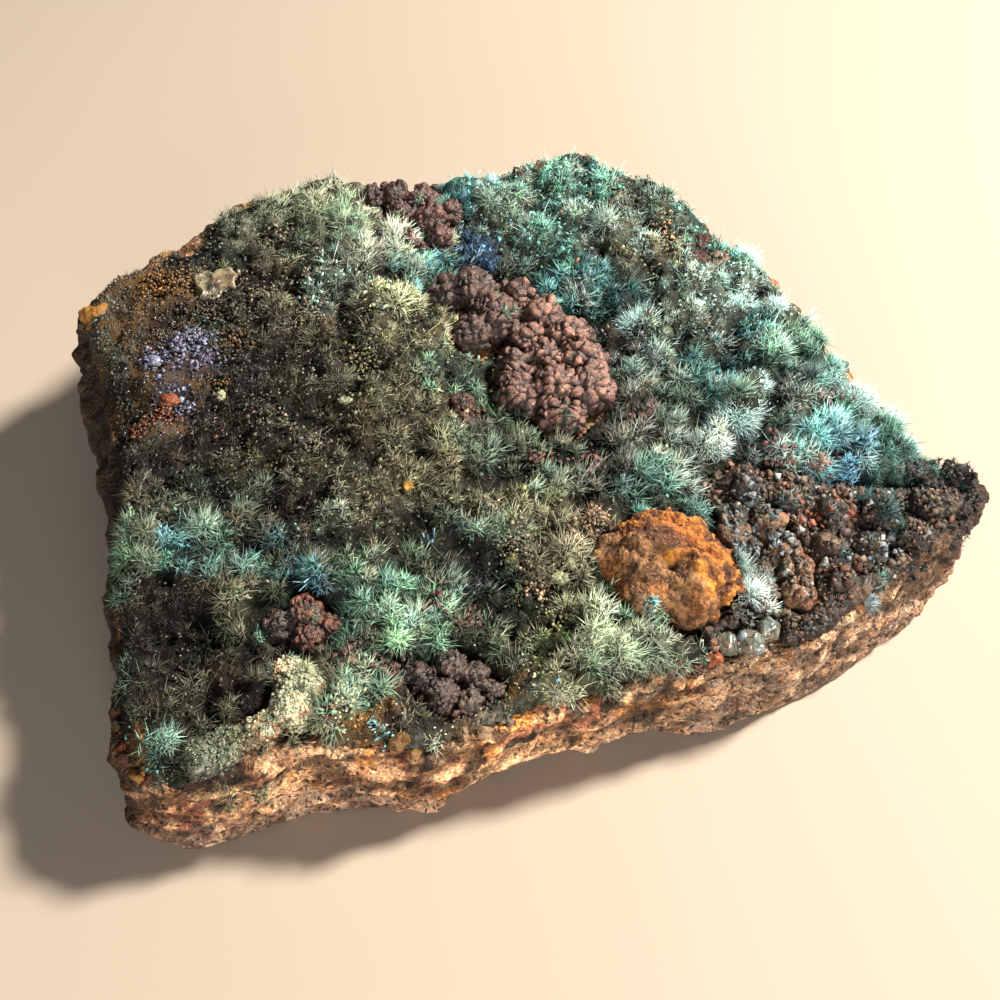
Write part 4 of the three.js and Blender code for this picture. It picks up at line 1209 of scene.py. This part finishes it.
def rough_copy(name, node, grain, softening, seed, paints, lumpiness, size, ragged):
    """A CAD solid's form with a broken, granular face in three mottled colours, and painted shade in the
    creases between its lumps.
    """
    piece = fine_copy(name, node, grain, softening)
    points = points_of(piece)
    facing = normals_of(piece)
    near, following, number = lumps(points, size, seed)
    coarse = rough_noise(points, 2.0, seed + 5, 4)
    rise = lumpiness * (round_top(near) - 0.6) + 0.8 * (coarse - 0.5)
    sideways = ragged * wavering(points, 1.6, seed + 20, 3) * np.array([1, 1, 0.3])
    move_points(piece, points + facing * rise[:, None] + sideways)
    tone = blend(*paints[:2], number)
    tone = blend(tone, paints[2], ease(coarse, 0.52, 0.66))
    # Painted shade in the creases between the lumps.
    tone = tone * (0.4 + 0.6 * ease(following - near, 0, 0.3))[:, None]
    tint(piece, tone * (0.6 + 0.8 * rough_noise(points, 0.5, seed + 9, 2))[:, None])
    return piece


# Broken forms: name, solid, its slot and material, then what rough_copy takes.
for name, node, slot, material, *ways in (
    ("spine of limonite", "limonite_ridge", "limonite", limonite,
     0.16, 16, 161, ("bark", "tan", "rust"), 0.8, 1.0, 0),
    ("bed of the druse", "goethite_druse", "druse", druse_finish,
     0.22, 10, 171, ("char", "soot", "bark"), 0.9, 1.1, 0),
    ("clear balls", "hemimorphite_balls", "hemimorphite", glassy,
     0.1, 4, 181, ("slate", "ash", "steel"), 0.2, 0.8, 0),
    ("clear plate", "calcite_rhomb", "calcite", satin,
     0.08, 1, 201, ("clay", "straw", "bark"), 0.35, 2.6, 1.7),
):
    finish_piece(rough_copy(name, node, *ways), material, slot, node)


def rim_piece():
    """The pale crust on the front rim: one swollen, finely granular mass."""
    piece = fine_copy("pale rim", "carbonate_rim", 0.18, 60)
    points = points_of(piece)
    facing = normals_of(piece)
    broad = rough_noise(points, 3.0, 191, 4)
    fine = rough_noise(points, 0.5, 195, 3)
    move_points(piece, points + facing * (3.0 * (broad - 0.5) + 0.8 * (fine - 0.5))[:, None])
    tone = blend("ivory", "putty", ease(broad, 0.46, 0.62))
    tone = blend(tone, "leather", 0.8 * patches(points, 1.6, 193, 4, 0.54, 0.62))
    tone = blend(tone, "shade", 0.8 * ease(-points[:, 0], 19.6, 22))
    # Painted shade: darker towards the bottom.
    tone = tone * blend(0.35, 1.0, ease(points[:, 2], 11.2, 12.8))[:, None]
    tint(piece, tone * np.exp(1.1 * (fine - 0.5))[:, None])
    return piece


def grains_on(name, piece, count, size):
    """Angular grains set all over the upper sides of a piece, each in about the colour below it."""
    chance = np.random.default_rng(29)
    points = points_of(piece)
    facing = normals_of(piece)
    below = np.empty(len(points) * 4)
    piece.data.attributes["tint"].data.foreach_get("color", below)
    chosen = chance.choice(np.flatnonzero(facing[:, 2] > -0.2), count)
    sizes = np.exp(chance.normal(math.log(size), 0.45, count)).clip(size * 0.4, size * 2.4)
    spots = points[chosen] + facing[chosen] * (0.3 * sizes)[:, None]
    tones = below.reshape(-1, 4)[chosen, :3] * np.exp(chance.normal(0.03, 0.18, (count, 1)))
    return grain_piece(name, "shard", spots, sizes, np.clip(tones, 0.01, 1), chance, 0.9)


def druse_grains():
    """The small crystals that line the hollow at the pointed end."""
    chance = np.random.default_rng(31)
    tried = 5200
    x = chance.uniform(15.5, 41.5, tried)
    y = chance.uniform(-23.5, -4.5, tried)
    kept = is_on("goethite_druse", x, y) | is_on("limonite_ridge", x, y)
    x, y = x[kept], y[kept]
    count = len(x)
    sizes = np.exp(chance.normal(math.log(0.19), 0.45, count)).clip(0.07, 0.42)
    spots = np.column_stack([x, y, read_field(everything_top, x, y) + chance.uniform(-0.25, 0.45, count)])
    zone = rough_noise(spots, 3.2, 33, 3)
    pick = chance.uniform(0, 1, count)
    tones = blend("soot", "ash", chance.uniform(0, 1, count))
    tones = blend(tones, "steel", 0.8 * ease(zone, 0.5, 0.6) * (pick < 0.6))
    rusty = 0.85 * np.exp(-((x - 27.3) ** 2 + (y + 10.6) ** 2) / 6) + 0.25 * ease(-zone, -0.46, -0.38)
    tones = blend(tones, "brick", rusty * (pick < 0.6))
    tones = np.where((pick > 0.95)[:, None], paint("frost") * 0.6, tones)
    # Painted shade: the grains in two pits are painted darker.
    pit = np.exp(-((x - 28.2) ** 2 + (y + 20.6) ** 2) / 5)
    pit = np.maximum(pit, np.exp(-((x - 19.4) ** 2 + (y + 19.6) ** 2) / 3))
    tones = tones * (1 - 0.85 * pit)[:, None] * uneven(chance, 0.4, count, 1).clip(0.3, 2)
    return grain_piece("druse grains", "shard", spots, sizes, tones, chance, 0.9)


def druse_needles():
    """Short dark and grey needles in the hollow, and the sprays that stand on other pieces.

    Each row is a tuft: x, y, reach, needles, colour and how pale its tips are.
    """
    chance = np.random.default_rng(37)
    rows = [
        (11.2, -20.8, 1.4, 120, "cyan", 0.6), (12.2, -21.4, 1.1, 70, "mint", 0.5),
        (20.4, -17.4, 2.2, 420, "frost", 0.8), (19.6, -15.2, 1.8, 260, "haze", 0.6),
        (21.6, -16.0, 1.5, 200, "frost", 0.6), (21.6, -18.6, 1.4, 160, "frost", 0.6),
        (32.8, -10.0, 2.3, 220, "deep", 0.2), (34.0, -11.8, 1.6, 140, "fern", 0.3),
        (31.4, -8.6, 1.8, 140, "deep", 0.2), (30.6, -17.2, 1.5, 160, "steel", 0.3),
        (31.6, -16.0, 1.2, 90, "teal", 0.1), (24.2, -9.0, 1.6, 120, "slate", 0.2),
        (26.0, -8.0, 1.2, 90, "pine", 0.2), (28.6, -13.4, 1.3, 90, "deep", 0.1),
        (26.8, -14.6, 1.1, 70, "steel", 0.3), (22.0, -9.6, 1.2, 90, "ash", 0.3),
        (29.4, -7.4, 1.2, 90, "dusk", 0.2), (-1.4, 12.4, 1.0, 60, "lichen", 0.5),
        (-0.5, 10.6, 1.0, 60, "sage", 0.5), (0.4, 11.4, 0.8, 40, "fern", 0.4),
        (1.6, 5.8, 0.9, 40, "lichen", 0.4), (-2.4, -1.6, 1.6, 60, "frost", 0.6),
        (-9.2, 26.6, 0.9, 40, "sage", 0.3), (-11.4, 24.6, 0.9, 40, "lichen", 0.3),
        (-16.6, -20.4, 0.9, 40, "mint", 0.5), (-5.0, -25.6, 0.9, 50, "frost", 0.4),
        (-30.7, 15.5, 1.2, 80, "cream", 0.6), (-27.6, 16.3, 1.2, 80, "tan", 0.6),
        (-29.3, 15.1, 1.1, 70, "tan", 0.5), (-28.3, 17.8, 1.1, 80, "cream", 0.5),
        (-30.9, 17.1, 1.1, 60, "straw", 0.5), (-29.6, 16.2, 0.9, 30, "cream", 0.6),
        (-6.7, 27.5, 1.6, 130, "cyan", 0.5), (-5.4, 28.6, 1.6, 130, "cyan", 0.4),
        (-7.4, 26.4, 1.3, 90, "teal", 0.4), (-4.4, 29.4, 1.4, 110, "teal", 0.4),
        (-7.6, 14.6, 1.2, 60, "fern", 0.3), (-7.2, 9.6, 1.2, 60, "pine", 0.3),
        (-4.8, 5.0, 1.3, 60, "fern", 0.3), (-3.0, 2.6, 1.1, 60, "sage", 0.3),
        (1.0, 0.0, 1.3, 70, "pine", 0.3), (5.0, -0.8, 1.2, 60, "fern", 0.3),
        (8.4, 1.2, 1.1, 60, "pine", 0.2), (9.2, 4.6, 1.2, 60, "olive", 0.3),
        (8.0, 9.4, 1.2, 60, "fern", 0.3), (4.2, 12.6, 1.2, 60, "teal", 0.3),
        (2.9, 13.9, 1.1, 50, "lichen", 0.4), (-9.8, 20.8, 1.3, 60, "mint", 0.5),
        (7.0, -16.0, 1.7, 110, "fern", 0.3), (7.6, -18.6, 1.7, 110, "sage", 0.4),
        (9.2, -21.0, 1.6, 110, "mint", 0.5), (8.4, -12.4, 1.6, 90, "olive", 0.3),
        (11.2, -10.6, 1.5, 90, "teal", 0.3), (14.6, -10.4, 1.2, 60, "pine", 0.2),
        (19.4, -13.0, 1.2, 70, "dusk", 0.2), (19.6, -19.8, 1.3, 80, "slate", 0.2),
        (16.8, -22.2, 1.1, 60, "lichen", 0.4),
    ]
    for _ in range(190):
        x = chance.uniform(-26, -15)
        y = chance.uniform(-34.5, -23)
        if is_on("carbonate_rim", x, y) and (x < -19.6 or chance.uniform() < 0.5):
            reach = chance.uniform(0.7, 1.2)
            rows.append((x, y, reach, 40, ("cream", "lichen", "fern", "sage")[chance.integers(4)], 0.5))
    for x, y in (
        (-17.0, -25.6), (-15.6, -28.0), (-17.2, -31.0), (-20.4, -33.4), (-22.6, -34.0), (-25.6, -32.0),
        (-22.6, -28.6), (-20.6, -26.4), (-14.4, -26.6), (-15.0, -30.0), (-24.4, -30.2),
    ):
        rows.append((x, y, 1.5, 110, "cream", 0.5))
    rows += [
        (-17.0, -16.2, 2.2, 160, "cyan", 0.5), (-16.2, -17.2, 1.6, 90, "sky", 0.4),
        (-22.0, -14.8, 1.8, 120, "cyan", 0.5),
    ]
    for _ in range(420):
        x = chance.uniform(16, 41)
        y = chance.uniform(-23, -5)
        if is_on("goethite_druse", x, y):
            colour = ("slate", "ash", "soot", "steel", "olive", "dusk")[chance.integers(6)]
            rows.append((x, y, chance.uniform(0.45, 0.9), 30, colour, 0.15))
    for _ in range(260):
        x = chance.uniform(34.4, 43)
        y = chance.uniform(-14, -4)
        if read_field(rock_share, x, y) > 0.99:
            colour = ("soot", "char", "bark")[chance.integers(3)]
            rows.append((x, y, chance.uniform(0.4, 0.7), 26, colour, 0.08))
    return needles_of("druse needles", bristles(few_tufts(rows, chance), everything_top, chance), chance)


rim = rim_piece()
finish_piece(rim, satin, "carbonate", "carbonate_rim")
finish_piece(grains_on("rim grains", rim, 3600, 0.085), satin, "carbonate")
finish_piece(druse_grains(), druse_finish, "druse")
finish_piece(druse_needles(), needle_finish, "aurichalcite")
finish_piece(crust_grains(), satin, "calcite")


def small_bits(name, red):
    """The red lumps of goethite, or the angular crumbs in other colours, that show among the needles."""
    chance = np.random.default_rng(59)
    rows = [row for row in BITS if (row[4] in ("maroon", "plum")) == red]
    middles = np.array([row[:2] for row in rows])
    spread = np.array([row[2:3] for row in rows])
    count = np.array([row[3] for row in rows]) * (1 if red else 4)
    of_cluster = np.repeat(np.arange(len(rows)), count)
    total = len(of_cluster)
    x, y = (middles[of_cluster] + chance.normal(0, 0.6, (total, 2)) * spread[of_cluster]).T
    spots = np.column_stack([x, y, read_field(ground_top, x, y) + chance.uniform(0.05, 0.6, total)])
    tones = np.array([paint(row[4]) for row in rows])[of_cluster]
    tones = tones * np.exp(chance.normal(-0.3, 0.5, (total, 1)))
    # The bits take the painted brightness across the crust, with its painted light on the right, and never
    # less than half.
    tones = tones * np.maximum(brightness_across(x, y), 0.5)[:, None]
    sizes = chance.uniform(0.14, 0.38, total) if red else chance.uniform(0.06, 0.2, total)
    return grain_piece(name, "grain" if red else "shard", spots, sizes, tones, chance, 0.9)


def violet_plates():
    """The thin violet-blue crystals that lie on the bare corner of the crust."""
    chance = np.random.default_rng(41)
    count = 520
    middles = np.array([(-33.1, 4.9), (-31.4, 5.6), (-30.2, 6.8), (-29.2, 7.8), (-28.6, 5.2), (-30.8, 0.4)])
    near = middles[chance.integers(0, len(middles), count)] + chance.normal(0, 0.75, (count, 2))
    sizes = chance.uniform(0.05, 0.2, count)
    near[:3] = ((-33.0, 4.8), (-32.2, 5.5), (-30.0, 7.0))
    sizes[:3] = (0.5, 0.38, 0.34)
    x, y = near.T
    spots = np.column_stack([x, y, read_field(ground_top, x, y) + chance.uniform(0.05, 0.3, count)])
    pale = chance.uniform(0, 1, count) ** 1.6
    tones = blend("raven", "lilac", pale)
    return grain_piece("violet plates", "plate", spots, sizes, tones, chance, 0.16)


def blue_blades():
    """Stout blue blades in two of the sprays, and the blue-black crystals at the front edge."""
    chance = np.random.default_rng(43)
    rows = ((-17.0, -16.3, 1.8, 16, "blue"), (-7.3, -13.1, 0.9, 8, "blue"), (-10.3, -30.8, 0.8, 12, "deep"),
            (-9.4, -31.4, 0.8, 8, "sky"), (-10.9, -30.0, 0.7, 8, "deep"), (3.4, -27.0, 0.9, 8, "blue"))
    made = [[], [], [], []]
    for x, y, reach, count, colour in rows:
        root = np.column_stack([chance.normal(x, 0.3, count), chance.normal(y, 0.3, count), np.zeros(count)])
        root[:, 2] = read_field(ground_top, root[:, 0], root[:, 1]) + 0.2
        direction = leaning(np.tile([0.0, 0, 1], (count, 1)), math.radians(72), chance)
        side, other = axes_along(direction, chance)
        length = reach * chance.uniform(0.6, 1.1, count)
        wide = 0.16 if reach < 1 else 0.09
        frames = np.stack([side * wide, other * 0.06, direction * length[:, None]], axis=2)
        tone = paint(colour) * uneven(chance, 0.3, count, 1)
        # Each blade's foot is painted darker, as shade.
        for kept, new in zip(made, (root, frames, tone * 0.6, blend(tone, "cool tip", 0.3))):
            kept.append(new)
    return repeated("blue blades", "blade", *[np.concatenate(kept) for kept in made])


def broken_lump(form, fineness, swelling, shift, stretch, seat, turn):
    """Adds a ball with a broken face to a form, and gives back the points of the unbroken ball.

    The swelling is the least swell, its strength, and the size, seed and layers of its noise.
    """
    least, strength, *noise = swelling
    made = bmesh.ops.create_icosphere(form, subdivisions=fineness, radius=1)["verts"]
    around = np.array([vertex.co[:] for vertex in made])
    swell = least + strength * rough_noise(around + shift, *noise)
    spots = (around * swell[:, None] * stretch) @ np.array(turn).T + seat
    for vertex, spot in zip(made, spots):
        vertex.co = Vector(spot) * MM
    return around


def stones():
    """The larger loose grains and chips that lie on the crust: x, y, size, flatness and colour of each."""
    form = bmesh.new()
    rows = (
        (-9.2, -7.8, 0.55, 1.0, "gold"), (-39.7, 11.4, 1.6, 0.9, "ochre"), (18.4, 19.6, 1.7, 0.25, "plum"),
        (20.0, 18.2, 1.3, 0.25, "ash"), (13.0, 0.1, 0.9, 0.7, "maroon"), (-3.9, -30.0, 0.8, 0.8, "tan"),
        (27.7, -5.1, 0.85, 0.9, "pink"), (29.4, -6.3, 0.6, 0.9, "plum"), (13.6, -24.2, 0.75, 0.9, "rust"),
        (15.2, -24.4, 0.6, 0.9, "maroon"), (16.6, -24.0, 0.8, 0.8, "tan"), (4.1, -17.3, 0.8, 0.8, "cream"),
        (0.3, -15.1, 0.9, 0.7, "straw"), (4.9, -16.2, 0.5, 0.9, "cream"),
        (-29.4, -32.6, 1.3, 0.5, "ochre"), (-31.0, -30.6, 1.0, 0.5, "rust"),
        (-31.0, -12.0, 0.5, 0.6, "bark"), (7.6, -12.6, 1.1, 0.7, "ash"), (9.0, -13.2, 0.9, 0.8, "bark"),
        (6.9, -11.4, 0.8, 0.8, "tan"), (-26.6, 1.6, 0.6, 0.6, "cream"), (-15.0, 0.6, 0.5, 0.6, "cream"),
        (-31.4, 1.0, 0.9, 0.5, "rust"), (-33.6, -2.0, 0.9, 0.5, "rust"), (-12.6, -30.6, 1.0, 0.7, "umber"),
        (-14.6, -29.8, 0.8, 0.7, "bark"), (24.6, -7.6, 0.9, 0.7, "bark"), (22.2, -6.4, 1.1, 0.6, "ash"),
        (29.9, -9.6, 1.0, 0.7, "rust"), (8.3, 33.6, 1.5, 0.6, "bark"), (6.6, 33.0, 1.0, 0.6, "char"),
        (9.8, 33.0, 1.0, 0.6, "rust"), (3.4, 31.8, 0.9, 0.5, "umber"), (1.2, 31.0, 0.8, 0.5, "bark"),
        (28.5, 13.2, 0.9, 0.5, "tan"), (30.2, 10.2, 0.9, 0.5, "bark"), (31.6, 7.6, 0.8, 0.5, "char"),
        (19.2, 20.8, 1.2, 0.25, "maroon"), (21.0, 19.4, 1.0, 0.25, "pink"),
        (12.4, -1.0, 0.6, 0.9, "maroon"), (12.9, 1.2, 0.6, 0.8, "plum"),
    )
    chance = np.random.default_rng(47)
    seats = np.fmax(ground_top * (crust_share > 0.5), everything_top)
    colours = []
    for x, y, size, flat, colour in rows:
        stretch = size * np.array([chance.uniform(0.8, 1.3), chance.uniform(0.7, 1.1), flat])
        turn = Matrix.Rotation(chance.uniform(0, 3.1), 3, "Z")
        turn = turn @ Matrix.Rotation(chance.normal(0, 0.3), 3, "X")
        under = size * np.array([[0, 0], [0.7, 0], [-0.7, 0], [0, 0.7], [0, -0.7]]) + np.array([x, y])
        seat = np.array([x, y, read_field(seats, under[:, 0], under[:, 1]).min() + 0.25 * size * flat])
        around = broken_lump(form, 4, (0.1, 1.6, 0.9, 49, 5), 9 * size + x, stretch, seat, turn)
        mottle = rough_noise(around + 5 * x, 0.5, 51, 3)
        tone = blend(colour, "char", ease(mottle, 0.5, 0.64) * 0.8)
        colours.append(tone * (0.3 + 0.9 * mottle)[:, None])
    piece = from_form("loose stones", form)
    tint(piece, np.concatenate(colours))
    shade_smooth(piece)
    return piece


def rim_rubble():
    """Rough lumps of the rock along the edge of the crust and on the pointed end."""
    chance = np.random.default_rng(53)
    form = bmesh.new()
    tried = 9000
    x = chance.uniform(-43, 43, tried)
    y = chance.uniform(-36, 36, tried)
    on_tip = (x > 34.4) & (y < -4.2) & (chance.uniform(0, 1, tried) < 0.8)
    edge = read_field(crust_share, x, y)
    outer = (read_field(blurred(rock_share, 8), x, y) < 0.95) & (edge > 0.2) & (edge < 0.55)
    kept = (read_field(rock_share, x, y) > 0.99) & ((outer & (np.arange(tried) < 6400)) | on_tip)
    x, y = x[kept], y[kept]
    sizes = np.where(x > 34, chance.uniform(0.35, 0.8, len(x)), chance.uniform(0.35, 1.0, len(x)))
    seats = np.column_stack([x, y, read_field(everything_top, x, y) - 0.3 * sizes])
    names = ("bark", "char", "ash", "bark", "rust", "umber", "tan")
    colours = []
    for seat, size in zip(seats, sizes):
        stretch = size * chance.uniform((0.8, 0.7, 0.6), (1.2, 1.1, 0.9))
        shift = 5 * seat[0]
        around = broken_lump(form, 2, (0.05, 1.9, 0.7, 55, 3), shift, stretch, seat, Matrix.Identity(3))
        mottle = rough_noise(around + shift, 0.5, 57, 3)
        plain = seat[0] > 34
        bright = paint(names[chance.integers(4 if plain else 7)])
        # The rubble takes the painted brightness across the crust, with its painted light on the right; on
        # the pointed end it is plain and very dark.
        dull = 0.11 if plain else 0.9 * brightness_across(*seat[:2])
        colours.append(bright * (dull * (0.3 + mottle))[:, None])
    piece = from_form("edge rubble", form)
    tint(piece, np.concatenate(colours))
    return piece


finish_piece(rim_rubble(), druse_finish, "gossan")
finish_piece(small_bits("red lumps", True), goethite, "goethite")
finish_piece(small_bits("crust crumbs", False), satin, "calcite")
finish_piece(violet_plates(), satin, "calcite")
finish_piece(blue_blades(), satin, "aurichalcite")
finish_piece(stones(), druse_finish, "gossan")


def floor_and_light():
    """A plain pale floor, a large warm light behind on the right, and weak light from the front."""
    form = bmesh.new()
    bmesh.ops.create_grid(form, x_segments=1, y_segments=1, size=2)
    floor = from_form("floor", form)
    plain = Finish("floor")
    floor.data.materials.append(plain.done(Base_Color=(0.32, 0.265, 0.21, 1), Roughness=0.8))
    world = bpy.data.worlds.new("studio")
    bpy.context.scene.world = world
    world.use_nodes = True
    world.node_tree.nodes["Background"].inputs["Color"].default_value = (0.94, 0.97, 1.0, 1)
    world.node_tree.nodes["Background"].inputs["Strength"].default_value = 0.16
    for name, place, size, power, colour in (
        ("key", (0.30, 0.10, 0.34), 0.07, 7.8, (1.0, 0.93, 0.83)),
        ("front", (0.05, -0.40, 0.11), 0.22, 2.1, (1.0, 0.93, 0.88)),
    ):
        lamp = bpy.data.lights.new(name, "AREA")
        lamp.shape = "DISK"
        lamp.size = size
        lamp.energy = power
        lamp.color = colour
        holder = bpy.data.objects.new(name, lamp)
        holder.location = place
        holder.rotation_euler = (Vector((0, 0, 0.01)) - Vector(place)).to_track_quat("-Z", "Y").to_euler()
        bpy.context.collection.objects.link(holder)


def camera_at_the_photo():
    """The photograph's viewing angle: 50 degrees down from in front, close to."""
    down = math.radians(50)
    distance = 120
    looked_at = Vector((-1.0, -4.1, 9.2))
    forward = Vector((0, math.cos(down), -math.sin(down)))
    lens = bpy.data.cameras.new("camera")
    lens.lens = 45.97
    lens.sensor_width = 36
    lens.clip_start = 0.005
    holder = bpy.data.objects.new("camera", lens)
    holder.location = (looked_at - distance * forward) * MM
    holder.rotation_euler = (math.radians(40), 0, 0)
    bpy.context.collection.objects.link(holder)
    bpy.context.scene.camera = holder


floor_and_light()
camera_at_the_photo()
bpy.context.scene.view_settings.view_transform = "Standard"
